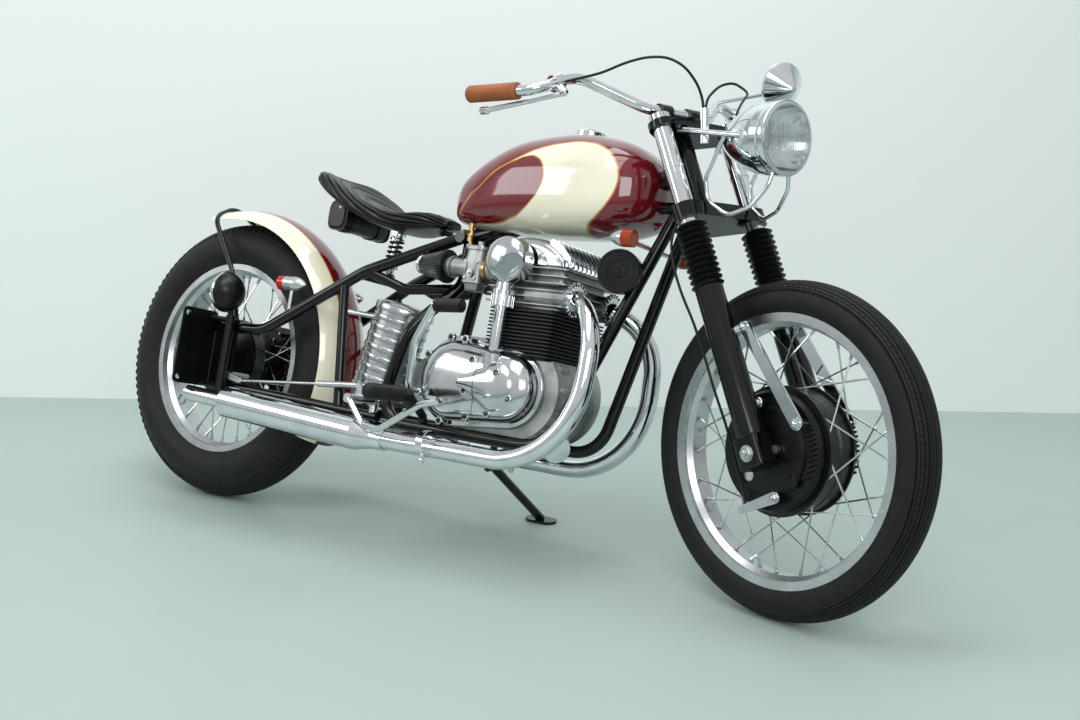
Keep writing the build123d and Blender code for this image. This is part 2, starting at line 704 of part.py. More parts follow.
# Exhaust pipes with their silencers
exhaust_shares = [(-0.72, 0.376), (-1.25, 0.345), (-1.43, 0.1425), (-1.54, 0.1425)]
exhaust_x_shares = [0.659, 0.730, 0.7315, 0.405]
exhaust_bends = [125.0, 180.0]
silencer_radius = 35.0
silencer_cone = 46.3            # from the pipe's end back to the silencer's full width
silencer_body = 433.3           # and to the start of its tail
silencer_reach = 556.3          # and to the tail's end
silencer_rise = 26.0
tail_radius = 18.0
tail_bore = 16.25
pipe_socket = 30.0              # of the silencer's front over the pipe's end
silencer_step = 16.0
for side, name in ((1, "right"), (-1, "left")):
    route = [
        (x * wheelbase, y * side * half_width, z * wheelbase)
        for x, (y, z) in zip(exhaust_x_shares, exhaust_shares)
    ]
    route[0] = (head_front + cut_over + collar_thickness * 0.8, -side * port_y, port_z)
    start = Vector(*route[-1])
    end = Vector(start.X - silencer_reach, start.Y - side * silencer_step, start.Z + silencer_rise)
    silencer_axis = Plane(origin=start, x_dir=(0, 1, 0), z_dir=end - start)
    run = (end - start).length
    front_shoulder = silencer_cone
    rear_shoulder = silencer_body
    with BuildPart() as exhaust:
        add(bent_tube(route, exhaust_bends, pipe_radius))
        with BuildSketch(Plane(origin=(head_front + cut_over, route[0][1], port_z), x_dir=(0, 1, 0),
                               z_dir=(1, 0, 0))):
            Circle(port_boss_radius)
            with PolarLocations(port_boss_radius, collar_fins):
                Rectangle(2 * (collar_radius - port_boss_radius), fin_thickness)
        extrude(amount=collar_thickness)
        with BuildSketch(Plane(origin=start, x_dir=silencer_axis.x_dir, z_dir=silencer_axis.y_dir)):
            with BuildLine():
                Polyline(
                    (0, pipe_socket), (pipe_radius + rim_wall, pipe_socket), (pipe_radius + rim_wall, 0),
                    (silencer_radius, -front_shoulder), (silencer_radius, -rear_shoulder),
                    (tail_radius, -rear_shoulder - silencer_step), (tail_radius, -run), (0, -run),
                    (0, pipe_socket),
                )
            make_face()
        revolve(axis=Axis(start, silencer_axis.z_dir))
        with BuildSketch(Plane(origin=start, x_dir=silencer_axis.x_dir, z_dir=silencer_axis.y_dir)):
            with BuildLine():
                Polyline(
                    (0, -rim_wall), (pipe_radius, -rim_wall), (silencer_radius - rim_wall, -front_shoulder),
                    (silencer_radius - rim_wall, -rear_shoulder),
                    (tail_bore, -rear_shoulder - silencer_step), (tail_bore, -run - cut_over),
                    (0, -run - cut_over), (0, -rim_wall),
                )
            make_face()
        revolve(axis=Axis(start, silencer_axis.z_dir), mode=Mode.SUBTRACT)
        add(bent_tube(route, exhaust_bends, pipe_bore), mode=Mode.SUBTRACT)
        add(rod((cylinder_x, route[0][1], port_z), (head_front + cut_over, route[0][1], port_z),
                collar_radius), mode=Mode.SUBTRACT)
        add(rod((head_front, route[0][1], port_z), route[0], pipe_bore - rim_wall / 2), mode=Mode.SUBTRACT)
    finish(f"{name}_exhaust", exhaust.part)

# Fuel tank: rounded sections along its length, with a tunnel for the backbone
tank_section_shares = [
    # along the wheelbase, half width, bottom and top as shares of the wheelbase, corner share
    (0.419, 0.30, 0.484, 0.514, 0.45),
    (0.445, 0.72, 0.470, 0.553, 0.45),
    (0.530, 1.05, 0.464, 0.602, 0.48),
    (0.640, 1.20, 0.464, 0.616, 0.48),
    (0.712, 1.12, 0.470, 0.603, 0.48),
    (0.758, 0.75, 0.482, 0.560, 0.45),
]
tunnel_half = 34.0
tank_bolt_shares = [(0.500, 0.493), (0.660, 0.545)]
tank_bolt_radius = 9.0
tunnel_shares = [(0.41, 0.45), (0.78, 0.45), (0.78, 0.585), (0.66, 0.552), (0.41, 0.482)]
with BuildPart() as tank:
    for x, half, low, high, corner in tank_section_shares:
        height = (high - low) * wheelbase
        with BuildSketch(Plane(origin=(x * wheelbase, 0, low * wheelbase + height / 2),
                               x_dir=(0, 1, 0), z_dir=(1, 0, 0))):
            RectangleRounded(2 * half * half_width, height, corner * min(height, 2 * half * half_width))
    loft()
    add(side_plate([(x * wheelbase, z * wheelbase) for x, z in tunnel_shares], tunnel_half, -tunnel_half),
        mode=Mode.SUBTRACT)
    for x, z in tank_bolt_shares:
        add(rod((x * wheelbase, -tunnel_half - cut_over, z * wheelbase),
                (x * wheelbase, tunnel_half + cut_over, z * wheelbase), tank_bolt_radius))
    add(backbone.part, mode=Mode.SUBTRACT)
finish("fuel_tank", tank.part)

cap_x = 905.0
cap_radius = 33.0
cap_top = 910.0
with BuildPart() as tank_cap:
    add(rod((cap_x, 0, cap_top - cap_radius), (cap_x, 0, cap_top), cap_radius))
    chamfer(tank_cap.faces().sort_by(Axis.Z)[-1].edges(), cap_radius / 8)
    add(tank.part, mode=Mode.SUBTRACT)
finish("tank_cap", tank_cap.part.solids().sort_by(Axis.Z)[-1])

# Seat: rounded sections from the nose to the upturned rear
seat_section_shares = [
    # along and up, both of the wheelbase, half width, thickness of the wheelbase
    (0.4030, 0.4745, 0.26, 0.0120), (0.3720, 0.4760, 0.62, 0.0250), (0.3150, 0.4710, 0.88, 0.0300),
    (0.2600, 0.4845, 1.08, 0.0330), (0.2080, 0.5110, 1.16, 0.0360), (0.1670, 0.5350, 1.02, 0.0300),
    (0.1500, 0.5430, 0.72, 0.0140),
]
seat_corner_share = 0.46
seat_places = [Vector(x * wheelbase, 0, z * wheelbase) for x, z, half, thick in seat_section_shares]
with BuildPart() as seat:
    for index, (x, z, half, thick) in enumerate(seat_section_shares):
        before = seat_places[max(index - 1, 0)]
        after = seat_places[min(index + 1, len(seat_places) - 1)]
        with BuildSketch(Plane(seat_places[index], x_dir=(0, 1, 0), z_dir=after - before)):
            RectangleRounded(2 * half * half_width, thick * wheelbase, seat_corner_share * thick * wheelbase)
    loft()
finish("seat", seat.part)

# Seat springing: a coil-over strut from the cross tube to the pan
strut_top = Vector(440.0, 0, 684.0)
strut_foot = Vector(421.0, 0, 555.0)
strut_radius = 17.0
strut_coils = 5
with BuildPart() as seat_strut:
    add(rod(tuple(strut_foot), tuple(strut_top), strut_radius / 2))
    strut_run = strut_top - strut_foot
    for index in range(strut_coils):
        foot = strut_foot + strut_run * ((index + 0.6) / (strut_coils + 1))
        add(rod(tuple(foot), tuple(foot + strut_run / (2.5 * strut_coils)), strut_radius))
    add(rod(spot(0.288, 0.84, 0.379), spot(0.288, -0.84, 0.379), cross_radius))
    add(seat.part, mode=Mode.SUBTRACT)
    add(pieces["right_rear_frame"], mode=Mode.SUBTRACT)
    add(pieces["left_rear_frame"], mode=Mode.SUBTRACT)
finish("seat_strut", seat_strut.part.solids().sort_by(SortBy.VOLUME)[-1])

roll_x, roll_z, roll_half = 315.0, 688.0, 82.0
roll_width, roll_height = 56.0, 70.0
with BuildPart() as tool_roll:
    with BuildSketch(side_plane(roll_half)):
        with Locations((roll_x, roll_z)):
            RectangleRounded(roll_width, roll_height, roll_width * 0.45)
    extrude(amount=2 * roll_half)
    add(seat.part, mode=Mode.SUBTRACT)
finish("tool_roll", tool_roll.part.solids().sort_by(SortBy.VOLUME)[-1])

# Oil canister behind the engine, ribbed round
canister_low = Vector(452.0, 0, 300.0)
canister_high = Vector(492.0, 0, 500.0)
canister_radius = 62.0
canister_rib = 2.2
canister_ribs = 9
canister_lid = 14.0
canister_arm_z = 470.0
canister_arm_radius = 6.0
with BuildPart() as canister:
    add(rod(tuple(canister_low), tuple(canister_high), canister_radius))
    canister_run = canister_high - canister_low
    for index in range(canister_ribs):
        foot = canister_low + canister_run * ((index + 0.5) / canister_ribs)
        add(rod(tuple(foot), tuple(foot + canister_run / (6 * canister_ribs)), canister_radius + canister_rib))
    lid_foot = canister_high - canister_run.normalized() * canister_lid
    add(rod(tuple(lid_foot), tuple(canister_high), canister_radius + 2 * canister_rib))
    arm_share = (canister_arm_z - canister_low.Z) / canister_run.Z
    for side, name in ((1, "right"), (-1, "left")):
        rail_end = Vector(*spot(upright_shares[0][0], upright_shares[0][1] * side, upright_shares[0][2]))
        rail_foot = Vector(*spot(upright_shares[1][0], upright_shares[1][1] * side, upright_shares[1][2]))
        arm_end = rail_end + (rail_foot - rail_end) * ((canister_arm_z - rail_end.Z) / (rail_foot.Z - rail_end.Z))
        add(rod(tuple(canister_low + canister_run * arm_share), tuple(arm_end), canister_arm_radius))
        add(pieces[f"{name}_rear_frame"], mode=Mode.SUBTRACT)
finish("oil_canister", canister.part.solids().sort_by(SortBy.VOLUME)[-1])

# Rear fender: a rounded channel turned about the axle, with a straight tip
fender_radius = 364.0
fender_skirt_radius = 330.0
fender_half = 76.0
fender_wall = 2.0
fender_low_angle = -27.0
fender_high_angle = 95.0
fender_tip_length = 66.0


def around_rear_axle(angle):
    """Plane through the rear axle, drawn in distance from it and in Y, at an angle above the X axis."""
    turn = math.radians(angle)
    return Plane(origin=rear_axle, x_dir=(math.cos(turn), 0, math.sin(turn)),
                 z_dir=(-math.sin(turn), 0, math.cos(turn)))


def fender_profile(plane):
    """The channel's section: a crowned roof that falls to a skirt on each side."""
    with BuildSketch(plane) as section:
        with BuildLine():
            outer = ThreePointArc(
                (fender_skirt_radius, fender_half), (fender_radius, 0), (fender_skirt_radius, -fender_half))
            Line(outer @ 1, (fender_skirt_radius, fender_wall - fender_half))
            ThreePointArc(
                (fender_skirt_radius, fender_wall - fender_half), (fender_radius - fender_wall, 0),
                (fender_skirt_radius, fender_half - fender_wall))
            Line((fender_skirt_radius, fender_half - fender_wall), outer @ 0)
        make_face()
    return section.sketch


with BuildPart() as rear_fender:
    revolve(fender_profile(around_rear_axle(fender_low_angle)), axis=Axis(rear_axle, (0, -1, 0)),
            revolution_arc=fender_high_angle - fender_low_angle)
    extrude(fender_profile(around_rear_axle(fender_high_angle)), amount=fender_tip_length)
    add(pieces["right_rear_frame"], mode=Mode.SUBTRACT)
    add(pieces["left_rear_frame"], mode=Mode.SUBTRACT)
finish("rear_fender", rear_fender.part.solids().sort_by(SortBy.VOLUME)[-1])

# Fender stays: a hoop over each side from the axle plate to the fender's skirt
hoop_radius = 6.0
hoop_shares = [(0.058, -1.08, 0.285), (0.030, -1.05, 0.360), (-0.052, -0.80, 0.452), (-0.066, 0, 0.478)]
stay_points = [spot(*share) for share in hoop_shares]
with BuildPart() as fender_stay:
    add(bent_tube(stay_points + mirrored(stay_points[:-1])[::-1], [120.0, 60.0, 60.0, 60.0, 120.0],
                  hoop_radius))
    for name in ("right_rear_frame", "left_rear_frame", "rear_fender"):
        add(pieces[name], mode=Mode.SUBTRACT)
finish("fender_stay", fender_stay.part.solids().sort_by(SortBy.VOLUME)[-1])

# Number plate carrier on the right: a round upright, a blank plate that faces the rear, and its lamp
post_x, post_y, post_radius = 98.0, -140.0, 11.0
post_low, post_high = 250.0, 425.0
plate_x = 30.0
plate_thickness = 4.0
plate_width, plate_height = 104.0, 176.0
plate_z = 342.0
lamp_radius = 46.0
lamp_depth = 42.0
lamp_z = 476.0
lamp_y = -160.0
lamp_x = 94.0
lamp_wall = 3.0
plate_y = -axle_plate_place - axle_plate_thickness - seat_gap - lamp_wall - plate_width / 2
with BuildPart() as plate_carrier:
    add(rod((post_x, post_y, post_low), (post_x, post_y, post_high), post_radius))
    with BuildSketch(Plane(origin=(plate_x, plate_y, plate_z), x_dir=(0, 1, 0), z_dir=(1, 0, 0))) as face:
        Rectangle(plate_width, plate_height)
        fillet(face.vertices(), post_radius)
    extrude(amount=plate_thickness)
    for height in (post_low + post_radius, post_high - post_radius):
        add(rod((plate_x, post_y, height), (post_x, post_y, height), post_radius * 0.6))
        add(rod((post_x, post_y, height), (post_x, -axle_plate_place - axle_plate_thickness, height),
                post_radius * 0.6))
    add(pieces["right_rear_frame"], mode=Mode.SUBTRACT)
    add(pieces["right_exhaust"], mode=Mode.SUBTRACT)
finish("plate_carrier", plate_carrier.part.solids().sort_by(SortBy.VOLUME)[-1])

with BuildPart() as tail_lamp:
    with BuildSketch(Plane(origin=(lamp_x, lamp_y, lamp_z), x_dir=(-1, 0, 0), z_dir=(0, -1, 0))):
        with BuildLine():
            bowl = ThreePointArc(*dome_arc(lamp_wall, lamp_radius, -lamp_depth))
            Polyline(bowl @ 1, (lamp_wall * 2, 0), (lamp_wall * 2, lamp_radius * 0.9), bowl @ 0)
        make_face()
    revolve(axis=Axis((lamp_x, lamp_y, lamp_z), (1, 0, 0)))
    add(rod((lamp_x + post_radius, lamp_y, lamp_z), (post_x, post_y, post_high - post_radius),
            post_radius * 0.6))
    add(plate_carrier.part, mode=Mode.SUBTRACT)
finish("tail_lamp", tail_lamp.part.solids().sort_by(SortBy.VOLUME)[-1])

# Bullet signals: x of the tip, the lens and the stalk, height, distance from the middle, facing
bullet_radius = 17.0
bullet_tip_radius = 2.0
stalk_radius = 5.0
signal_table = [
    # tip x, lens x, centre z, distance from the middle, stalk foot height
    (274.0, 197.5, 517.0, 100.0, 448.0),
    (1066.0, 1121.5, 673.0, 122.0, 673.0),
]
signal_names = iter(("rear_signals", "front_signals"))
for tip_x, lens_x, height, spread, foot_z in signal_table:
    facing = 1 if lens_x > tip_x else -1
    signal_nodes = []
    for side in (-1, 1):
        with BuildPart() as signal:
            with BuildSketch(Plane(origin=(tip_x, side * spread, height), x_dir=(facing, 0, 0),
                                   z_dir=(0, -facing, 0))):
                with BuildLine():
                    nose = ThreePointArc(
                        (0, bullet_tip_radius), (bullet_radius, bullet_radius * 0.8),
                        (bullet_radius * 2.4, bullet_radius))
                    Polyline(nose @ 1, (abs(lens_x - tip_x), bullet_radius), (abs(lens_x - tip_x), 0), (0, 0),
                             nose @ 0)
                make_face()
            revolve(axis=Axis((tip_x, side * spread, height), (1, 0, 0)))
            middle_x = (tip_x + lens_x) / 2
            if foot_z < height:
                add(rod((middle_x, side * spread, height),
                        (middle_x, side * (half_width + seat_gap), foot_z), stalk_radius))
            else:
                add(rod((middle_x, side * spread, height), (middle_x, side * cross_radius, height), stalk_radius))
            for name in ("right_rear_frame", "left_rear_frame", "fuel_tank", "backbone",
                         "right_cradle", "left_cradle"):
                add(pieces[name], mode=Mode.SUBTRACT)
        signal_nodes.append(signal.part.solids().sort_by(SortBy.VOLUME)[-1])
    finish(next(signal_names), Compound(children=signal_nodes))

# Horn in front of the cylinder head
horn = Vector(1072.0, -62.0, 612.0)
horn_radius = 42.0
horn_depth = 34.0
with BuildPart() as horn_unit:
    add(rod(tuple(horn), (horn.X + horn_depth * 0.3, horn.Y - horn_depth, horn.Z), horn_radius))
    add(rod(tuple(horn), (horn.X, 0, horn.Z), stalk_radius))
    for name in ("backbone", "right_cradle", "left_cradle"):
        add(pieces[name], mode=Mode.SUBTRACT)
finish("horn", horn_unit.part.solids().sort_by(SortBy.VOLUME)[-1])

# Foot controls
peg_x, peg_z = 668.0, 308.0
peg_inner, peg_outer = 160.0, 285.0
peg_radius = 15.0
peg_nodes = []
for side in (-1, 1):
    with BuildPart() as peg:
        add(rod((peg_x, side * peg_inner, peg_z), (peg_x - cut_over, side * peg_outer, peg_z - cut_over), peg_radius))
        add(rod((peg_x, side * peg_inner, peg_z), (peg_x, side * half_width, peg_z - peg_inner / 4),
                peg_radius * 0.6))
        add(rod((peg_x, side * half_width, peg_z - peg_inner / 4),
                (peg_x, side * half_width, 0.168 * wheelbase), peg_radius * 0.6))
        for name in ("right_cradle", "left_cradle", "right_engine_cover", "left_engine_cover", "crankcase",
                     "right_exhaust", "left_exhaust"):
            add(pieces[name], mode=Mode.SUBTRACT)
    peg_nodes.append(peg.part.solids().sort_by(SortBy.VOLUME)[-1])
finish("foot_pegs", Compound(children=peg_nodes))

pedal_radius = 7.0
pedal_pivot = Vector(531.0, -185.0, 282.0)
pedal_points = [
    tuple(pedal_pivot), (585.0, -192.0, 232.0), (640.0, -205.0, 228.0), (745.0, -215.0, 292.0),
    (800.0, -222.0, 306.0),
]
pad_length = 46.0
pad_width = 26.0
with BuildPart() as brake_pedal:
    add(bent_tube(pedal_points, [30.0, 40.0, 50.0], pedal_radius))
    add(rod((pedal_pivot.X, pedal_pivot.Y - pedal_radius, pedal_pivot.Z),
            (pedal_pivot.X, -half_width, pedal_pivot.Z), pedal_radius * 1.4))
    add(rod((pedal_pivot.X, -half_width, pedal_pivot.Z), spot(0.364, -1.02, 0.172), pedal_radius * 1.4))
    with BuildSketch(Plane(origin=(pedal_points[-1][0], pedal_points[-1][1] - pad_width / 2,
                                   pedal_points[-1][2]))) as pad:
        RectangleRounded(pad_width, pad_length, pad_width / 4)
    extrude(amount=pedal_radius)
    for name in ("right_cradle", "right_rear_frame", "right_exhaust", "right_engine_cover"):
        add(pieces[name], mode=Mode.SUBTRACT)
finish("brake_pedal", brake_pedal.part.solids().sort_by(SortBy.VOLUME)[-1])

kick_radius = 8.0
kick_foot = Vector(655.0, -150.0, 320.0)
kick_points = [
    (kick_foot.X, -crankcase_half - cover_step, kick_foot.Z), tuple(kick_foot),
    (664.0, -165.0, 420.0), (712.0, -178.0, 498.0), (722.0, -180.0, 499.0),
]
kick_rubber_radius = 13.0
kick_rubber_length = 68.0
with BuildPart() as kick_starter:
    add(bent_tube(kick_points[:4], [22.0, 60.0], kick_radius))
    add(rod(kick_points[3], (kick_points[3][0] + kick_rubber_length, kick_points[3][1], kick_points[3][2] + cut_over),
            kick_rubber_radius))
    for name in ("right_cradle", "right_engine_cover", "crankcase"):
        add(pieces[name], mode=Mode.SUBTRACT)
finish("kick_starter", kick_starter.part.solids().sort_by(SortBy.VOLUME)[-1])

lever_points = [
    (output_x + 60.0, crankcase_half + cover_depth * 0.8 + seat_gap, output_z - 60.0),
    (output_x + 60.0, 165.0, output_z - 60.0), (output_x + 190.0, 170.0, output_z - 50.0),
    (output_x + 190.0, 235.0, output_z - 50.0),
]
with BuildPart() as gear_lever:
    add(bent_tube(lever_points, [14.0, 14.0], kick_radius * 0.8))
    add(left_cover.part, mode=Mode.SUBTRACT)
finish("gear_lever", gear_lever.part)

# Rear brake panel on the right, held by the axle, with its torque arm
with BuildPart() as rear_brake:
    add(revolve_about(rear_axle, [
        (axle_radius, -rear_hub_half - panel_gap), (rear_drum_radius - flange_thickness, -rear_hub_half - panel_gap),
        (rear_drum_radius - flange_thickness, -rear_hub_half - panel_gap - flange_thickness),
        (rear_hub_radius, -rear_hub_half - panel_gap - 3 * flange_thickness),
        (rear_hub_radius / 2, -axle_plate_place), (axle_radius, -axle_plate_place),
    ]))
    add(rod((rear_axle.X, -axle_plate_place - 5 * flange_thickness, rear_axle.Z),
            (rear_axle.X, axle_plate_place + 5 * flange_thickness, rear_axle.Z), axle_radius))
finish("rear_brake", rear_brake.part)

# Side stand: a leg, its foot flat on the floor, and a pivot under the left cradle
stand_pivot = Vector(725.0, 88.0, 190.0)
stand_leg_radius = 10.0
foot_world = Vector(753.0, 209.0, 0.0)
foot_thickness = 6.0
foot_radius = 26.0
floor_up = Vector(0, -sin_lean, cos_lean)
floor_left = Vector(0, cos_lean, sin_lean)


def from_floor(x, y, z):
    """A place given over the floor where the machine is parked, in the upright machine's frame."""
    raised = rear_axle + Vector(x, 0, 0) + floor_left * y + floor_up * (z - rear_axle_height)
    return raised


foot = from_floor(*foot_world)
ankle = from_floor(foot_world.X, foot_world.Y, foot_thickness)
stand_fold_direction = Vector(-1, -0.02, 0)
leg_direction = (ankle - stand_pivot).normalized()
stand_axis = leg_direction.cross(stand_fold_direction).normalized()
eye_radius = 15.0
eye_half = 11.0
bolt_radius = 6.0
lug_thickness = 8.0
with BuildPart() as side_stand:
    add(rod(tuple(stand_pivot), tuple(ankle), stand_leg_radius))
    add(rod(tuple(stand_pivot - stand_axis * eye_half), tuple(stand_pivot + stand_axis * eye_half), eye_radius))
    with BuildSketch(Plane(origin=foot, x_dir=(1, 0, 0), z_dir=floor_up)):
        SlotOverall(foot_radius * 3, foot_radius * 1.6)
    extrude(amount=foot_thickness)
    add(rod(tuple(stand_pivot - stand_axis * eye_half * 2), tuple(stand_pivot + stand_axis * eye_half * 2),
            bolt_radius + seat_gap), mode=Mode.SUBTRACT)
    with BuildSketch(Plane(origin=foot, x_dir=(1, 0, 0), z_dir=-floor_up)):
        Rectangle(foot_radius * 6, foot_radius * 6)
    extrude(amount=foot_radius, mode=Mode.SUBTRACT)
finish("side_stand", side_stand.part)

lug_top = Vector(stand_pivot.X, half_width * 0.9, 0.168 * wheelbase)
with BuildPart() as stand_bracket:
    add(rod(tuple(stand_pivot + stand_axis * (eye_half + seat_gap)),
            tuple(stand_pivot + stand_axis * (eye_half + seat_gap + lug_thickness)), eye_radius))
    add(rod(tuple(stand_pivot - stand_axis * (eye_half + lug_thickness)),
            tuple(stand_pivot + stand_axis * (eye_half + lug_thickness)), bolt_radius))
    add(rod(tuple(stand_pivot + stand_axis * (eye_half + seat_gap + lug_thickness / 2)), tuple(lug_top),
            lug_thickness))
    add(pieces["left_cradle"], mode=Mode.SUBTRACT)
    add(rod(tuple(stand_pivot - stand_axis * (eye_half + seat_gap)),
            tuple(stand_pivot + stand_axis * (eye_half + seat_gap)), eye_radius + cut_over)
        - rod(tuple(stand_pivot - stand_axis * eye_half * 2), tuple(stand_pivot + stand_axis * eye_half * 2),
              bolt_radius), mode=Mode.SUBTRACT)
finish("stand_bracket", stand_bracket.part.solids().sort_by(SortBy.VOLUME)[-1])

# Steering: two yokes joined by the stem, with the bar's two risers on the upper one
bar_radius = 11.1
riser_spread = 40.0
riser_ahead = -30.0
riser_up = 722.0
riser_half = 13.0
riser_length = 30.0
with BuildPart() as yokes:
    for up, thickness in ((lower_yoke_up, yoke_thickness), (upper_yoke_up, upper_yoke_thickness)):
        with BuildSketch(fork.offset(up)):
            with BuildSketch(Plane.XY, mode=Mode.PRIVATE) as bosses:
                with Locations((0, leg_spread), (0, -leg_spread)):
                    Circle(yoke_boss_radius)
                with Locations((-fork_lead, 0)):
                    Circle(head_tube_radius)
            make_hull(bosses.sketch.edges())
            with Locations((0, leg_spread), (0, -leg_spread)):
                Circle(stanchion_radius, mode=Mode.SUBTRACT)
        extrude(amount=thickness)
    add(rod(tuple(on_fork(-fork_lead, 0, lower_yoke_up)), tuple(on_fork(-fork_lead, 0, fork_cap_up)),
            stem_radius))
    for side in (-1, 1):
        add(rod(tuple(on_fork(riser_ahead, side * riser_spread, upper_yoke_up + upper_yoke_thickness)),
                tuple(on_fork(riser_ahead, side * riser_spread, riser_up)), riser_half))
        add(rod(tuple(on_fork(riser_ahead, side * riser_spread - riser_length / 2, riser_up)),
                tuple(on_fork(riser_ahead, side * riser_spread + riser_length / 2, riser_up)), riser_half * 1.2))
    add(rod(tuple(on_fork(riser_ahead, -leg_spread, riser_up)), tuple(on_fork(riser_ahead, leg_spread, riser_up)),
            bar_radius), mode=Mode.SUBTRACT)
finish("fork_yokes", yokes.part, steering_names)

leg_nodes, stanchion_nodes, gaiter_nodes = [], [], []
for side in (-1, 1):
    y = side * leg_spread
    with BuildPart() as stanchion:
        add(rod(tuple(on_fork(0, y, leg_top - leg_radius)), tuple(on_fork(0, y, fork_cap_up)), stanchion_radius))
        for low, high, radius in (
            (lower_yoke_up + yoke_thickness, upper_yoke_up, shroud_radius),
            (shroud_ring_up, shroud_ring_up + shroud_ring_height, shroud_ring_radius),
            (upper_yoke_up + upper_yoke_thickness, fork_cap_up, fork_cap_radius),
        ):
            add(rod(tuple(on_fork(0, y, low)), tuple(on_fork(0, y, high)), radius))
    stanchion_nodes += stanchion.part.solids()
    with BuildPart() as leg:
        add(rod(tuple(on_fork(0, y, -leg_foot_length)), tuple(on_fork(0, y, leg_top)), leg_radius))
        add(rod(tuple(on_fork(0, y, leg_top - leg_radius)), tuple(on_fork(0, y, leg_top + cut_over)),
                stanchion_radius), mode=Mode.SUBTRACT)
    leg_nodes.append(leg.part)
    folds = []
    pitch = (gaiter_top - leg_top) / gaiter_folds
    for index in range(gaiter_folds):
        folds.append((gaiter_root_radius, index * pitch))
        folds.append((gaiter_ridge_radius, (index + 0.5) * pitch))
    folds.append((gaiter_root_radius, gaiter_folds * pitch))
    with BuildPart() as gaiter:
        with BuildSketch(Plane(origin=on_fork(0, y, leg_top), x_dir=fork.x_dir, z_dir=-fork.y_dir)):
            Polygon((stanchion_radius, 0), *folds, (stanchion_radius, gaiter_top - leg_top), align=None)
        revolve(axis=Axis(on_fork(0, y, leg_top), fork.z_dir))
    gaiter_nodes += gaiter.part.solids()
finish("fork_stanchions", Compound(children=stanchion_nodes), steering_names)
finish("fork_gaiters", Compound(children=gaiter_nodes), steering_names)

with BuildPart() as fork_legs:
    for leg_part in leg_nodes:
        add(leg_part)
    add(rod(tuple(on_fork(0, -leg_spread - leg_radius, 0)), tuple(on_fork(0, leg_spread + leg_radius, 0)),
            axle_radius))
finish("fork_legs", fork_legs.part, steering_names)

# Handlebar: one bent tube, wide and swept back to the grips
bar_table = [
    # ahead of the fork, to the left, up from the axle
    (-240.0, 345.0, 834.0), (-93.0, 310.0, 766.0), (-80.0, 205.0, 806.0), (-30.0, 88.0, 722.0),
]
bar_bends = [38.0, 60.0, 70.0]
bar_wall = 2.0
bar_points = [tuple(on_fork(a, y, u)) for a, y, u in bar_table]
bar_points += [tuple(on_fork(a, -y, u)) for a, y, u in reversed(bar_table)]
handlebar = bent_tube(bar_points, bar_bends + bar_bends[::-1], bar_radius, bar_radius - bar_wall)
finish("handlebar", handlebar - yokes.part, steering_names)

grip_radius = 17.0
grip_length = 122.0
lever_radius = 5.0
lever_ball = 8.0
perch_share = 0.5               # of the bar's rise from the grip's bend to its crown
grip_nodes, lever_nodes = [], []
for side in (-1, 1):
    end = on_fork(bar_table[0][0], side * bar_table[0][1], bar_table[0][2])
    inner = on_fork(bar_table[1][0], side * bar_table[1][1], bar_table[1][2])
    along = (inner - end).normalized()
    grip_nodes.append(rod(tuple(end), tuple(end + along * grip_length), grip_radius, bar_radius + seat_gap))
    crown = on_fork(bar_table[2][0], side * bar_table[2][1], bar_table[2][2])
    clamp_way = (crown - inner).normalized()
    perch = inner + (crown - inner) * perch_share
    below = Vector(0, 0, -1)
    ahead = Vector(1, 0, 0)
    with BuildPart() as lever:
        add(rod(tuple(perch - clamp_way * bar_radius), tuple(perch + clamp_way * bar_radius), bar_radius * 1.5))
        knuckle = perch + ahead * bar_radius * 2.2 + below * bar_radius * 2
        blade_end = end + along * lever_ball * 2 + ahead * (grip_radius + 2 * lever_ball) + below * grip_radius * 2
        add(rod(tuple(perch), tuple(knuckle), bar_radius * 0.8))
        add(rod(tuple(perch - clamp_way * bar_radius * 2), tuple(perch + clamp_way * bar_radius * 2),
                bar_radius + seat_gap), mode=Mode.SUBTRACT)
        add(rod(tuple(knuckle + (knuckle - blade_end).normalized() * lever_radius), tuple(blade_end), lever_radius))
        add(rod(tuple(blade_end - ahead * lever_ball), tuple(blade_end + ahead * lever_ball), lever_ball))
    lever_nodes.append(lever.part.solids().sort_by(SortBy.VOLUME)[-1])
finish("hand_grips", Compound(children=grip_nodes), steering_names)
finish("hand_levers", Compound(children=lever_nodes), steering_names)

# Headlamp: a bullet shell and its domed lens, aimed level
lamp_front = on_fork(197.0, 0, 545.0)
lamp_rim_radius = 70.0
lamp_length = 150.0
lamp_shell_wall = 3.0
lamp_boss_radius = 12.0
lens_dome = 16.0
lamp_plane = Plane(origin=lamp_front, x_dir=(1, 0, 0), z_dir=(0, -1, 0))
lamp_axis = Axis(lamp_front, (1, 0, 0))
with BuildPart() as headlamp:
    with BuildSketch(lamp_plane):
        with BuildLine():
            shell = ThreePointArc(
                (-lamp_length * 0.2, lamp_rim_radius), (-lamp_length * 0.7, lamp_rim_radius * 0.68),
                (-lamp_length, lamp_boss_radius))
            inner = Polyline(
                shell @ 1, (-lamp_length, 0), (lamp_shell_wall - lamp_length, 0),
                (lamp_shell_wall - lamp_length, lamp_boss_radius - lamp_shell_wall))
            lining = ThreePointArc(
                inner @ 1, (lamp_shell_wall - lamp_length * 0.7, (lamp_rim_radius - lamp_shell_wall) * 0.67),
                (-lamp_length * 0.2, lamp_rim_radius - lamp_shell_wall))
            Polyline(lining @ 1, (0, lamp_rim_radius - lamp_shell_wall), (0, lamp_rim_radius), shell @ 0)
        make_face()
    revolve(axis=lamp_axis)
finish("headlamp_shell", headlamp.part, steering_names)
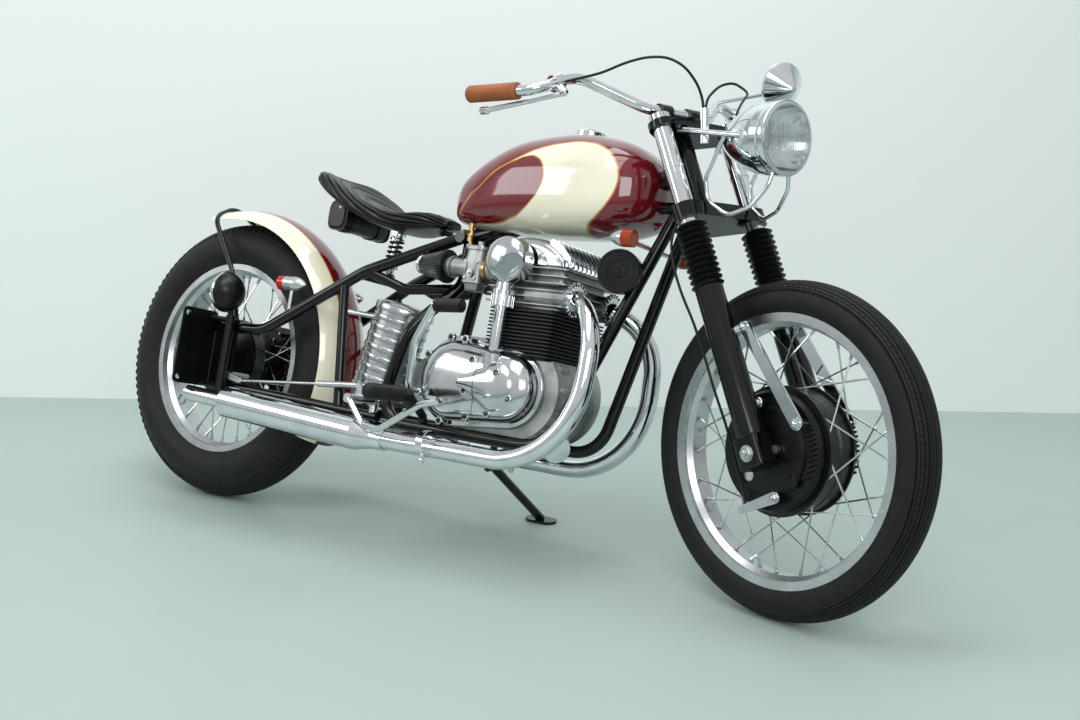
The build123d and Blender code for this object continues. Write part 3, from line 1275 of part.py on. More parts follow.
with BuildPart() as lamp_room:
    add(rod(tuple(lamp_front), tuple(lamp_front - Vector(lamp_length * 0.75, 0, 0)), lamp_rim_radius * 0.7))
with BuildPart() as lens:
    with BuildSketch(lamp_plane):
        with BuildLine():
            dome = ThreePointArc(*dome_arc(2 * lamp_shell_wall, lamp_rim_radius, lens_dome))
            Polyline(dome @ 1, (seat_gap, 0), (seat_gap, lamp_rim_radius), dome @ 0)
        make_face()
    revolve(axis=lamp_axis)
finish("headlamp_lens", lens.part, steering_names)

# Lamp bracket: on each side a flat-ended rod from the upper yoke to the shell's flank, and a thinner
# rod bent down from it and round under the lamp; the right one carries a cable junction
bracket_radius = 5.5
hoop_rod_radius = 4.0
bracket_spread = 66.0
hoop_places = [
    # ahead of the fork, to the side, up from the axle
    (113.0, 66.0, 586.0), (44.0, 66.0, 534.0), (29.0, 62.0, 493.0), (57.0, 52.0, 450.0),
    (104.0, 40.0, 445.0), (147.0, 30.0, 466.0), (166.0, 22.0, 492.0),
]
hoop_bends = [26.0, 30.0, 24.0, 34.0, 36.0]
junction_radius = 9.0
junction_low, junction_high = (56.4, 55.0, 604.8), (79.7, 55.0, 666.1)
bracket_nodes = []
for side in (-1, 1):
    rod_back = on_fork(yoke_boss_radius * 0.6, side * bracket_spread, upper_yoke_up - bracket_radius - seat_gap)
    rod_front = on_fork(157.0, side * (bracket_spread + seat_gap), 564.0)
    with BuildPart() as bracket:
        add(rod(tuple(rod_back), tuple(rod_front), bracket_radius))
        add(rod(tuple(rod_back), tuple(rod_back + fork.z_dir * 2 * bracket_radius), bracket_radius))
        add(rod(tuple(rod_front + Vector(0, side * bracket_radius, 0)), tuple(Vector(rod_front.X, 0, rod_front.Z)),
                bracket_radius * 1.2))
        add(bent_tube([tuple(on_fork(a, side * y, u)) for a, y, u in hoop_places], hoop_bends, hoop_rod_radius))
        if side < 0:
            add(rod(tuple(on_fork(junction_low[0], -junction_low[1], junction_low[2])),
                    tuple(on_fork(junction_high[0], -junction_high[1], junction_high[2])), junction_radius))
        add(headlamp.part, mode=Mode.SUBTRACT)
        add(lamp_room.part, mode=Mode.SUBTRACT)
        add(yokes.part, mode=Mode.SUBTRACT)
    bracket_nodes.append(bracket.part.solids().sort_by(SortBy.VOLUME)[-1])
finish("lamp_bracket", Compound(children=bracket_nodes), steering_names)

# Mirror: a round glass in a cone-backed shell on a short stem
mirror_centre = Vector(1206.0, 190.0, 1030.0)
mirror_radius = 47.0
mirror_depth = 46.0
mirror_wall = 3.0
mirror_facing = Vector(-0.94, 0.2, 0.28).normalized()
stem_foot = on_fork(-62.0, 188.0, 798.0)
with BuildPart() as mirror:
    with BuildSketch(Plane(origin=mirror_centre, x_dir=mirror_facing.cross(Vector(0, 0, 1)), z_dir=-mirror_facing)):
        Circle(mirror_radius)
    extrude(amount=mirror_wall * 2)
    with BuildSketch(Plane(origin=mirror_centre - mirror_facing * mirror_wall * 2, z_dir=-mirror_facing)):
        Circle(mirror_radius)
    with BuildSketch(Plane(origin=mirror_centre - mirror_facing * mirror_depth, z_dir=-mirror_facing)):
        Circle(mirror_wall * 2)
    loft(ruled=True)
    add(rod(tuple(mirror_centre - mirror_facing * mirror_depth * 0.9), tuple(stem_foot), mirror_wall * 1.4))
    add(pieces["handlebar"], mode=Mode.SUBTRACT)
finish("mirror", mirror.part.solids().sort_by(SortBy.VOLUME)[-1], steering_names)

# Front brake panels with their levers, and the chrome torque link of each
panel_nodes, link_nodes = [], []
arm_thickness = 5.0
for side in (-1, 1):
    inner = side * (front_hub_half + panel_gap)
    outer = side * (front_hub_half + panel_gap + panel_width)
    hat = side * (front_hub_half + panel_gap + panel_width + panel_hat_width)
    hat_face = front_hub_half + panel_gap + panel_width + panel_hat_width
    with BuildPart() as panel:
        add(revolve_about(front_axle, [
            (axle_radius, inner), (panel_radius, inner), (panel_radius, (inner + outer) / 2),
            (panel_radius - cut_over, outer), (panel_hat_radius, outer), (panel_hat_radius - cut_over, hat),
            (axle_radius, hat),
        ]))
        for ahead, up in ((-4.0, -86.0), (21.0, 86.0)):
            add(rod(tuple(on_fork(ahead, inner + side * panel_width / 2, up)),
                    tuple(on_fork(ahead, side * (hat_face + arm_thickness), up)), arm_thickness * 1.6))
        add(rod(tuple(on_fork(-4.0, side * (hat_face + arm_thickness / 2), -86.0)),
                tuple(on_fork(-80.0, side * (hat_face + arm_thickness / 2), -81.0)), arm_thickness))
        add(fork_legs.part, mode=Mode.SUBTRACT)
    panel_nodes.append(panel.part.solids().sort_by(SortBy.VOLUME)[-1])
    with BuildPart() as link:
        low = on_fork(107.0 * 0.85, side * (hat_face + arm_thickness / 2), 21.0)
        high = on_fork(leg_radius + 2 * arm_thickness, side * (hat_face + arm_thickness / 2), 224.0)
        add(rod(tuple(low), tuple(high), arm_thickness * 1.6))
        add(rod(tuple(high), tuple(on_fork(0, side * leg_spread, 224.0)), arm_thickness * 1.2))
        add(rod(tuple(low), tuple(low - Vector(0, side * (panel_hat_width + panel_width / 2), 0)), arm_thickness))
        add(panel.part, mode=Mode.SUBTRACT)
        add(fork_legs.part, mode=Mode.SUBTRACT)
    link_nodes.append(link.part.solids().sort_by(SortBy.VOLUME)[-1])
finish("front_brake_panels", Compound(children=panel_nodes), steering_names)
finish("torque_links", Compound(children=link_nodes), steering_names)

# Control cables, held at both ends: two loops over the bar from the junction to the levers, and one
# behind the right leg from the lower yoke to the brake panel's arm
cable_radius = 2.6
cable_routes = {
    "right": [
        (-75.0, -250.0, 782.0), (-44.0, -231.0, 776.5), (-11.0, -208.0, 772.0), (30.0, -182.0, 775.0),
        (62.0, -155.0, 773.0), (88.0, -128.0, 762.0), (101.0, -102.0, 738.0), (98.0, -77.0, 706.0),
        (87.0, -61.0, 682.0), (78.0, -57.0, 661.0),
    ],
    "left": [
        (78.0, -53.0, 661.0), (83.0, -40.0, 690.0), (93.0, -5.0, 717.0), (99.0, 34.0, 727.0),
        (90.0, 76.0, 722.0), (64.0, 118.0, 734.0), (24.0, 158.0, 752.0), (-12.0, 190.0, 764.0),
        (-46.0, 222.0, 774.0), (-75.0, 250.0, 782.0),
    ],
    "brake": [
        (-24.0, -101.0, 470.0), (-38.0, -117.0, 438.0), (-42.0, -126.0, 390.0), (-43.0, -125.0, 332.0),
        (-40.0, -117.0, 272.0), (-41.0, -112.0, 206.0), (-48.0, -104.0, 138.0), (-58.0, -86.0, 68.0),
        (-71.5, -73.0, -6.0), (-79.5, -69.0, -78.5),
    ],
}


def cable_path(name):
    """The places of a cable's route, and each arc as large as the runs beside it allow."""
    places = [on_fork(*place) for place in cable_routes[name]]
    radii = []
    for before, corner, after in zip(places, places[1:], places[2:]):
        run_in, run_out = corner - before, after - corner
        turn = math.radians(run_in.get_angle(run_out))
        radii.append(0.45 * min(run_in.length, run_out.length) / math.tan(turn / 2))
    return [tuple(place) for place in places], radii


cable_nodes = []
for name in cable_routes:
    places, radii = cable_path(name)
    cable = bent_tube(places, radii, cable_radius)
    print(name, "cable radii", [round(radius) for radius in radii])
    for fitting in ("fork_yokes", "lamp_bracket", "hand_levers", "handlebar", "front_brake_panels"):
        cable = cable - pieces[fitting]
    cable_nodes.append(cable.solids().sort_by(SortBy.VOLUME)[-1])
finish("control_cables", Compound(children=cable_nodes), steering_names)

# Park the motorcycle: steer its front end, lean the whole over its stand and centre it on the floor
steering_names_all = steering_names + front_wheel_names
placed = {}
for name, piece in pieces.items():
    if name in steering_names_all:
        piece = piece.rotate(steering_axis, park_steer)
    piece = piece.rotate(Axis(rear_axle, (1, 0, 0)), -park_lean)
    placed[name] = piece.moved(Location((0, 0, rear_axle_height - rear_axle.Z)))
boxes = [piece.bounding_box() for piece in placed.values()]
middle_x = (min(box.min.X for box in boxes) + max(box.max.X for box in boxes)) / 2
middle_y = (min(box.min.Y for box in boxes) + max(box.max.Y for box in boxes)) / 2
lowest = min(box.min.Z for box in boxes)
for name, piece in placed.items():
    piece = piece.moved(Location((-middle_x, -middle_y, 0)))
    piece.label = name
    export_step(piece, f"parts/{name}.step")
print(f"{len(placed)} pieces, centred from {middle_x:.2f}, {middle_y:.2f}, lowest point {lowest:.3f}")
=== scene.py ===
import math

import bmesh
import bpy
import numpy as np
from mathutils import Matrix


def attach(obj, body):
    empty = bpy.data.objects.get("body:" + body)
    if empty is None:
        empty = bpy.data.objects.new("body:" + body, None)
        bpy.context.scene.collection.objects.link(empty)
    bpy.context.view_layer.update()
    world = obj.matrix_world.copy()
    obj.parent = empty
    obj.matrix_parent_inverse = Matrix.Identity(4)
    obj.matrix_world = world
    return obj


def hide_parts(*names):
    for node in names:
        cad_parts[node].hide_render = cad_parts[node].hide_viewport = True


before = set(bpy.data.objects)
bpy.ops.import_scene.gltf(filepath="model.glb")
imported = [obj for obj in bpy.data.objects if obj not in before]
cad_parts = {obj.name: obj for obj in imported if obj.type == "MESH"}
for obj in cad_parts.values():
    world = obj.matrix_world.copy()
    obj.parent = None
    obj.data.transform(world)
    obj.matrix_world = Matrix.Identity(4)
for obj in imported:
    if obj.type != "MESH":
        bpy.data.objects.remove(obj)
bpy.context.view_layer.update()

MM = 0.001

# Stance of the parked motorcycle, as in the solid model, in millimetres and radians
WHEELBASE = 1460.0
RAKE = math.radians(27.0)
FORK_LEAD = 45.0
LEAN = math.radians(14.96)
STEER = math.radians(-16.87)
REAR_RADIUS, REAR_SECTION = 329.0, 62.0
FRONT_RADIUS, FRONT_SECTION = 315.0, 40.0
# Where the middle of the leaning motorcycle lies before it is moved to the origin
MIDDLE = np.array((717.46, 138.67, 0.0))

AXLE_TILT = -math.cos(STEER) * math.sin(LEAN) - math.sin(RAKE) * math.sin(STEER) * math.cos(LEAN)
REAR_HEIGHT = (REAR_RADIUS - REAR_SECTION) * math.cos(LEAN) + REAR_SECTION
FRONT_HEIGHT = (FRONT_RADIUS - FRONT_SECTION) * math.sqrt(1 - AXLE_TILT**2) + FRONT_SECTION
FRONT_Z = (
    REAR_RADIUS
    + (FRONT_HEIGHT - REAR_HEIGHT + FORK_LEAD * math.sin(STEER) * math.sin(LEAN)) / math.cos(LEAN)
    + FORK_LEAD * math.sin(RAKE) * (1 - math.cos(STEER))
)
REAR_AXLE = np.array((0.0, 0.0, REAR_RADIUS))
FRONT_AXLE = np.array((WHEELBASE, 0.0, FRONT_Z))
FORK_UP = np.array((-math.sin(RAKE), 0.0, math.cos(RAKE)))
FORK_AHEAD = np.array((math.cos(RAKE), 0.0, math.sin(RAKE)))
LEFT = np.array((0.0, 1.0, 0.0))
AHEAD = np.array((1.0, 0.0, 0.0))
UP = np.array((0.0, 0.0, 1.0))


def turned(points, centre, axis, angle):
    """Points turned about a line: the part along it stays, the rest goes round by cosine and sine."""
    arms = np.asarray(points, float) - centre
    along = (arms @ axis)[..., None] * axis
    return centre + along + (arms - along) * math.cos(angle) + np.cross(axis, arms) * math.sin(angle)


def on_fork(ahead, left, up):
    """A point of the upright motorcycle, ahead of the fork legs, to the left and up from the axle."""
    return FRONT_AXLE + ahead * FORK_AHEAD + left * LEFT + up * FORK_UP


LAMP_FRONT = on_fork(197.0, 0, 545.0)


def parked(points, steered=False):
    """Millimetres on the upright motorcycle to metres where it stands, steered, leaned and centred."""
    points = np.asarray(points, float)
    if steered:
        points = turned(points, FRONT_AXLE - FORK_LEAD * FORK_AHEAD, FORK_UP, STEER)
    points = turned(points, REAR_AXLE, AHEAD, -LEAN)
    return (points + (0.0, 0.0, REAR_HEIGHT - REAR_RADIUS) - MIDDLE) * MM


# Meshes


def grid_faces(rows, columns, close_rows=False, close_columns=True, first=0):
    """Quads between neighbours on a grid of points, wrapped round where a direction is closed."""
    row = np.arange(rows if close_rows else rows - 1)
    column = np.arange(columns if close_columns else columns - 1)
    a, b = np.meshgrid(row, column, indexing="ij")
    c, d = (a + 1) % rows, (b + 1) % columns
    return first + np.stack(
        (a * columns + b, c * columns + b, c * columns + d, a * columns + d), -1
    ).reshape(-1, 4)


def ringed(rings):
    """A surface from rings of as many points each."""
    rings = np.asarray(rings)
    return rings.reshape(-1, 3), grid_faces(len(rings), rings.shape[1])


def closed_ends(rings):
    """Rings with their first and last drawn in to their middles."""
    first, last = (np.broadcast_to(rings[k].mean(0), (1, *rings.shape[1:])) for k in (0, -1))
    return np.concatenate((first, rings, last), 0)


def frame_of(axis):
    """Two directions square to an axis and to each other."""
    axis = np.asarray(axis, float) / np.linalg.norm(axis)
    helper = UP if abs(axis[2]) < 0.9 else AHEAD
    across = np.cross(helper, axis)
    across /= np.linalg.norm(across)
    return axis, across, np.cross(axis, across)


def lathe(profile, centre, axis, sides=64):
    """A profile of radius and distance along an axis, carried round it: r cos t, r sin t, h."""
    axis, across, over = frame_of(axis)
    profile = np.asarray(profile, float)
    turn = np.linspace(0, 2 * math.pi, sides, endpoint=False)
    ring = np.cos(turn)[:, None] * across + np.sin(turn)[:, None] * over
    points = (
        np.asarray(centre, float)
        + profile[:, None, 0, None] * ring[None]
        + profile[:, None, 1, None] * axis
    )
    return points.reshape(-1, 3), grid_faces(len(profile), sides)


def closed_lathe(profile, centre, axis, sides=64):
    """A ring whose profile comes back to its start, such as a rim or a tyre."""
    points, _ = lathe(profile, centre, axis, sides)
    return points, grid_faces(len(profile), sides, close_rows=True)


def smooth_path(points, steps=8):
    """A Catmull-Rom curve through the points, each span cut into equal steps."""
    points = np.asarray(points, float)
    ends = np.vstack((2 * points[0] - points[1], points, 2 * points[-1] - points[-2]))
    t = np.linspace(0, 1, steps, endpoint=False)[None, :, None]
    a, b, c, d = (ends[i:len(ends) - 3 + i][:, None, :] for i in range(4))
    spans = 0.5 * (2 * b + (c - a) * t + (2 * a - 5 * b + 4 * c - d) * t**2
                   + (3 * b - 3 * c + d - a) * t**3)
    return np.vstack((spans.reshape(-1, points.shape[1]), points[-1]))


def pipe(path, radius, sides=20, capped=True):
    """Rings of a radius square to a path, which turn as little as they can from one to the next."""
    path = np.asarray(path, float)
    tangents = np.gradient(path, axis=0)
    tangents /= np.linalg.norm(tangents, axis=1)[:, None]
    across = frame_of(tangents[0])[1]
    frames = []
    for tangent in tangents:
        across = across - tangent * (across @ tangent)
        across /= np.linalg.norm(across)
        frames.append(across)
    across = np.array(frames)
    over = np.cross(tangents, across)
    radius = np.broadcast_to(np.asarray(radius, float), len(path))
    if capped:
        path = np.vstack((path[:1], path, path[-1:]))
        across, over = (np.vstack((v[:1], v, v[-1:])) for v in (across, over))
        radius = np.concatenate(([0.0], radius, [0.0]))
    turn = np.linspace(0, 2 * math.pi, sides, endpoint=False)
    rings = np.cos(turn)[None, :, None] * across[:, None] + np.sin(turn)[None, :, None] * over[:, None]
    points = path[:, None] + radius[:, None, None] * rings
    return points.reshape(-1, 3), grid_faces(len(path), sides)


def joined(*shapes):
    """Several point and face arrays as one."""
    points, faces, first = [], [], 0
    for shape_points, shape_faces in shapes:
        points.append(shape_points)
        faces.append(shape_faces + first)
        first += len(shape_points)
    return np.vstack(points), np.vstack(faces)


def settle(mesh, sharp=35.0, merge=1e-6):
    """Merge doubled points, turn the faces outwards, and shade smooth but for edges past an angle."""
    work = bmesh.new()
    work.from_mesh(mesh)
    bmesh.ops.remove_doubles(work, verts=work.verts, dist=merge)
    bmesh.ops.dissolve_degenerate(work, dist=merge, edges=work.edges)
    bmesh.ops.recalc_face_normals(work, faces=work.faces)
    work.to_mesh(mesh)
    work.free()
    mesh.polygons.foreach_set("use_smooth", np.ones(len(mesh.polygons), bool))
    mesh.set_sharp_from_angle(angle=math.radians(sharp))


def piece(name, shape, material, body, steered=False, sharp=35.0, replaces=()):
    """A finished piece from point and face arrays in millimetres on the upright motorcycle."""
    points, faces = shape
    mesh = bpy.data.meshes.new(name)
    mesh.from_pydata(parked(points, steered).tolist(), [], faces.tolist())
    settle(mesh, sharp)
    mesh.materials.append(material)
    made = bpy.data.objects.new(name, mesh)
    bpy.context.scene.collection.objects.link(made)
    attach(made, body)
    if replaces:
        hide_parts(*replaces)
    return made


# Materials

MATHS, VECTORS, RANGE = "ShaderNodeMath", "ShaderNodeVectorMath", "ShaderNodeMapRange"
RED, CREAM, GOLD = "#6d0f1c", "#efe9d2", "#c08a35"


def linear(hex_colour):
    """An sRGB hex colour as linear red, green, blue and alpha."""
    values = np.array([int(hex_colour[i:i + 2], 16) for i in (1, 3, 5)]) / 255
    values = np.where(values <= 0.04045, values / 12.92, ((values + 0.055) / 1.055) ** 2.4)
    return (*[float(v) for v in values], 1.0)


def add_node(tree, kind, inputs, output=0, **settings):
    """An output of a new node, from its settings and inputs: values, hex colours or nodes' outputs."""
    node = tree.nodes.new(kind)
    for key, value in settings.items():
        setattr(node, key, value)
    for key, value in inputs.items():
        if isinstance(value, bpy.types.NodeSocket):
            tree.links.new(value, node.inputs[key])
        else:
            node.inputs[key].default_value = linear(value) if isinstance(value, str) else value
    return node.outputs[output]


def new_material(name, colour, roughness, metallic=0.0, **sockets):
    """A material with its shader's plain values set, and its tree and shader to build on."""
    material = bpy.data.materials.new(name)
    material.use_nodes = True
    tree = material.node_tree
    shader = tree.nodes["Principled BSDF"]
    shader.inputs["Base Color"].default_value = linear(colour)
    shader.inputs["Roughness"].default_value = roughness
    shader.inputs["Metallic"].default_value = metallic
    for key, value in sockets.items():
        shader.inputs[key.replace("_", " ")].default_value = value
    return material, tree, shader


def object_place(tree):
    """The place on the object, from Object coordinates."""
    return add_node(tree, "ShaderNodeTexCoord", {}, "Object")


def grain(tree, grain_mm, detail=3.0):
    """Noise over the object, in lumps of about a given size in millimetres."""
    return add_node(tree, "ShaderNodeTexNoise",
                    {"Vector": object_place(tree), "Scale": 1000.0 / grain_mm, "Detail": detail}, "Fac")


def tinted(tree, shader, factor, first, second):
    """The shader's colour, mixed from two colours by a factor."""
    colour = add_node(tree, "ShaderNodeMix", {"Factor": factor, 6: first, 7: second}, 2, data_type="RGBA")
    tree.links.new(colour, shader.inputs["Base Color"])


def worn_gloss(tree, shader, value, low, high):
    """The shader's roughness, taken from the middle of a noise to a range of its own."""
    rough = add_node(tree, RANGE, {"Value": value, "From Min": 0.3, "From Max": 0.7,
                                   "To Min": low, "To Max": high})
    tree.links.new(rough, shader.inputs["Roughness"])


def bumped(tree, shader, height, depth_mm, strength=1.0):
    """Relief on a shader from a height of 0 to 1 and the depth that it stands for."""
    normal = add_node(tree, "ShaderNodeBump",
                      {"Height": height, "Distance": depth_mm * MM, "Strength": strength})
    tree.links.new(normal, shader.inputs["Normal"])


def enamel(name, colour, second, roughness, film=0.6, glint=0.5):
    """Sprayed gloss enamel: deep colour under a clear film with a faint orange peel of 3 mm."""
    material, tree, shader = new_material(name, colour, roughness, Coat_Weight=film, Coat_Roughness=0.05,
                                          Specular_IOR_Level=glint)
    worn = add_node(tree, RANGE, {"Value": grain(tree, 60.0), "From Min": 0.35, "From Max": 0.7})
    tinted(tree, shader, worn, colour, second)
    worn_gloss(tree, shader, grain(tree, 25.0), roughness, roughness * 1.7)
    bumped(tree, shader, grain(tree, 3.0), 0.02, 0.4)
    return material


def metal(name, colour, second, low_rough, high_rough, grain_mm, relief_mm, patch_mm=40.0):
    """Bare or plated metal: two close tones in patches, and a fine grain in gloss and relief."""
    material, tree, shader = new_material(name, colour, low_rough, metallic=1.0)
    patch = add_node(tree, RANGE, {"Value": grain(tree, patch_mm), "From Min": 0.35, "From Max": 0.65})
    tinted(tree, shader, patch, colour, second)
    surface = grain(tree, grain_mm, 4.0)
    worn_gloss(tree, shader, surface, low_rough, high_rough)
    bumped(tree, shader, surface, relief_mm, 0.5)
    return material


def moulded(name, colour, second, roughness, grain_mm, relief_mm, glint=0.5):
    """Moulded rubber, leather or plastic: a matt skin with a fine even grain."""
    material, tree, shader = new_material(name, colour, roughness, Specular_IOR_Level=glint)
    patch = add_node(tree, RANGE, {"Value": grain(tree, 30.0), "From Min": 0.3, "From Max": 0.7})
    tinted(tree, shader, patch, colour, second)
    bumped(tree, shader, grain(tree, grain_mm, 2.0), relief_mm, 0.6)
    return material


# Black stoved enamel: hard, glossy, and slightly grey where dust lies
frame_enamel = enamel("black_stoved_enamel", "#040505", "#08090a", 0.1, 0.2, 0.3)
# Satin black paint on the brake panels and small brackets
satin_black = enamel("satin_black_paint", "#060707", "#0c0d0e", 0.26, 0.0, 0.3)
# Bright chrome on polished steel: near mirror, a little blue
chrome = metal("bright_chrome_plate", "#e3e6e9", "#d5d9dd", 0.03, 0.08, 6.0, 0.004)
# Buffed aluminium cases: bright, with soft hand-polish haze
polished_alloy = metal("polished_aluminium", "#d0d3d4", "#c3c7c9", 0.11, 0.17, 1.5, 0.004)
# Sand-cast aluminium: dull, open grain of about 1 mm
cast_alloy = metal("sand_cast_aluminium", "#b3b5b4", "#8f9291", 0.38, 0.55, 1.2, 0.08)
# Satin anodised alloy of the rims and small fittings
satin_alloy = metal("satin_anodised_rim", "#c8cbcd", "#b9bcbe", 0.24, 0.34, 1.5, 0.01)
# Spun aluminium of the oil canister: a soft satin sheen
spun_alloy = metal("spun_aluminium", "#c6c9ca", "#b4b8ba", 0.2, 0.3, 1.5, 0.006)
# Heat-proof black on cast iron fins: matt with a fine cast grain
fin_black = moulded("heat_proof_black_on_iron", "#121213", "#1d1d1e", 0.55, 1.2, 0.1)
# Oiled steel of the chain, the sprockets and the engine cover's screws
oiled_steel = metal("oiled_chain_steel", "#5b5955", "#3a3835", 0.3, 0.5, 1.5, 0.03, 12.0)
# Tyre rubber: dark grey and matt
tyre_rubber = moulded("dusty_tyre_rubber", "#0c0d0d", "#161717", 0.58, 1.0, 0.05, 0.3)
# Moulded black rubber of gaiters and pegs
gaiter_rubber = moulded("black_moulded_rubber", "#070808", "#0d0e0e", 0.42, 0.8, 0.03, 0.35)
# Black saddle hide with a 2 mm grain
black_hide = moulded("black_saddle_leather", "#060606", "#0d0d0d", 0.34, 2.0, 0.12, 0.4)
# Tan ribbed grip rubber
tan_rubber = moulded("tan_grip_rubber", "#8c4a22", "#a25c2e", 0.5, 1.2, 0.05)
# Satin black plastic of the horn and the tail lamp's shell
black_plastic = moulded("satin_black_plastic", "#060707", "#0c0d0d", 0.3, 0.8, 0.02, 0.35)
# Moulded red acrylic of the tail lamp's lens
red_acrylic = enamel("moulded_red_acrylic", "#9c100b", "#820c08", 0.1)
# Steel gauze of the air filters
gauze = metal("steel_gauze", "#6f6f6b", "#4c4c49", 0.4, 0.6, 0.8, 0.1, 10.0)
# Turned brass of the fuel tap and the inlet rings
brass = metal("turned_brass", "#b99b66", "#a2875a", 0.22, 0.36, 1.5, 0.01)


def shifted(tree, place, direction, offset):
    """A place's distance from a plane, in millimetres: its dot product with a direction, plus an offset."""
    dot = add_node(tree, VECTORS, {0: place, 1: [float(d) / MM for d in direction]}, "Value",
                   operation="DOT_PRODUCT")
    return add_node(tree, MATHS, {0: dot, 1: float(offset)}, operation="ADD")


def upright_place(tree):
    """Along, left and up on the upright motorcycle, in millimetres, for a solid that doesn't steer."""
    place = object_place(tree)
    cosine, sine = math.cos(LEAN), math.sin(LEAN)
    return (
        shifted(tree, place, (1, 0, 0), MIDDLE[0]),
        shifted(tree, place, (0, cosine, -sine), MIDDLE[1] * cosine + REAR_HEIGHT * sine),
        shifted(tree, place, (0, sine, cosine), MIDDLE[1] * sine - REAR_HEIGHT * cosine + REAR_RADIUS),
    )


def below(tree, value, limit, soft=0.4):
    """One where a value is below a limit, and zero above it, with a soft edge."""
    return add_node(tree, RANGE, {"Value": value, "From Min": limit - soft, "From Max": limit + soft,
                                  "To Min": 1.0, "To Max": 0.0})


def near(tree, value, limit, soft=0.4):
    """One where a value is nearer to zero than a limit, on either side, with a soft edge."""
    return below(tree, add_node(tree, MATHS, {0: value}, operation="ABSOLUTE"), limit, soft)


def outside_line(tree, along, up, centre, outline, reach=400.0):
    """How far a place lies outside an outline that is drawn as its distance from a centre at each angle."""
    dx = add_node(tree, MATHS, {0: along, 1: centre[0]}, operation="SUBTRACT")
    dz = add_node(tree, MATHS, {0: up, 1: centre[1]}, operation="SUBTRACT")
    angle = add_node(tree, MATHS, {0: dz, 1: dx}, operation="ARCTAN2")
    share = add_node(tree, RANGE, {"Value": angle, "From Min": -math.pi, "From Max": math.pi})
    curve = add_node(tree, "ShaderNodeFloatCurve", {"Value": share})
    stops = sorted(((math.atan2(z - centre[1], x - centre[0]) + math.pi) / (2 * math.pi),
                    math.hypot(x - centre[0], z - centre[1]) / reach) for x, z in outline)
    seam = (stops[0][1] + stops[-1][1]) / 2
    track = curve.node.mapping.curves[0]
    track.points[0].location = (0.0, seam)
    track.points[-1].location = (1.0, seam)
    for stop in stops:
        track.points.new(*stop)
    curve.node.mapping.update()
    radius = add_node(tree, MATHS, {0: curve, 1: reach}, operation="MULTIPLY")
    squares = [add_node(tree, MATHS, {0: side, 1: side}, operation="MULTIPLY") for side in (dx, dz)]
    square_sum = add_node(tree, MATHS, {0: squares[0], 1: squares[1]}, operation="ADD")
    distance = add_node(tree, MATHS, {0: square_sum}, operation="SQRT")
    return add_node(tree, MATHS, {0: distance, 1: radius}, operation="SUBTRACT")


def lacquer(name, body, line, first, second):
    """Sprayed lacquer: one colour changes to another by a mask, with a gold line by a second mask."""
    material, tree, shader = new_material(name, first, 0.08, Coat_Weight=0.8, Coat_Roughness=0.04)
    ground = add_node(tree, "ShaderNodeMix", {"Factor": body(tree), 6: first, 7: second}, 2, data_type="RGBA")
    tinted(tree, shader, line(tree), ground, GOLD)
    worn_gloss(tree, shader, grain(tree, 25.0), 0.07, 0.13)
    bumped(tree, shader, grain(tree, 3.0), 0.02, 0.3)
    return material


# The tank's scallop: cream between the red oval at the rear and the red front, with a gold line round each.
# Places along and up in millimetres: edges that show were measured in the photograph, the rest drawn
PANEL_MIDDLE, OVAL_MIDDLE = (880.0, 750.0), (780.0, 755.0)
PANEL_OUTLINE = [
    (1053, 801), (1043, 824), (1021, 847), (988, 863), (950, 867), (895, 860), (840, 845), (798, 825),
    (742, 796), (711, 768), (665, 728), (640, 700), (600, 640), (760, 600), (900, 600), (925, 652),
    (955, 678), (982, 698), (1009, 715), (1038, 743), (1052, 775),
]
OVAL_OUTLINE = [
    (883, 792), (872, 817), (849, 831), (823, 830), (792, 819), (743, 795), (711, 769), (665, 729),
    (640, 712), (618, 697), (658, 692), (722, 692), (781, 698), (822, 710), (853, 732), (876, 760),
]


def past_panel(tree):
    """How far a place on the tank lies outside the cream panel."""
    along, _, up = upright_place(tree)
    return outside_line(tree, along, up, PANEL_MIDDLE, PANEL_OUTLINE)


def past_oval(tree):
    """How far a place on the tank lies outside the red oval."""
    along, _, up = upright_place(tree)
    return outside_line(tree, along, up, OVAL_MIDDLE, OVAL_OUTLINE)


def cream_of_tank(tree):
    """One inside the panel and outside the oval."""
    off_oval = add_node(tree, MATHS, {0: 1.0, 1: below(tree, past_oval(tree), 0.0)}, operation="SUBTRACT")
    return add_node(tree, MATHS, {0: below(tree, past_panel(tree), 0.0), 1: off_oval}, operation="MULTIPLY")


def lines_of_tank(tree):
    """One on the gold lines, about 3 mm wide, round the panel and the oval."""
    return add_node(tree, MATHS, {0: near(tree, past_panel(tree), 1.7), 1: near(tree, past_oval(tree), 1.5)},
                    operation="MAXIMUM")


def from_crown(tree, middle):
    """How far a place on the rear fender lies from a line at a distance beside its crown, on either side."""
    beside = add_node(tree, MATHS, {0: upright_place(tree)[1]}, operation="ABSOLUTE")
    return add_node(tree, MATHS, {0: beside, 1: middle}, operation="SUBTRACT")


tank_paint = lacquer("red_and_cream_lacquer", cream_of_tank, lines_of_tank, RED, CREAM)
# The rear fender: cream flanks, a deep red band along the crown and a gold line at its edges
fender_paint = lacquer("cream_and_red_lacquer", lambda tree: below(tree, from_crown(tree, 30.0), 0.0),
                       lambda tree: near(tree, from_crown(tree, 31.0), 1.4), CREAM, RED)


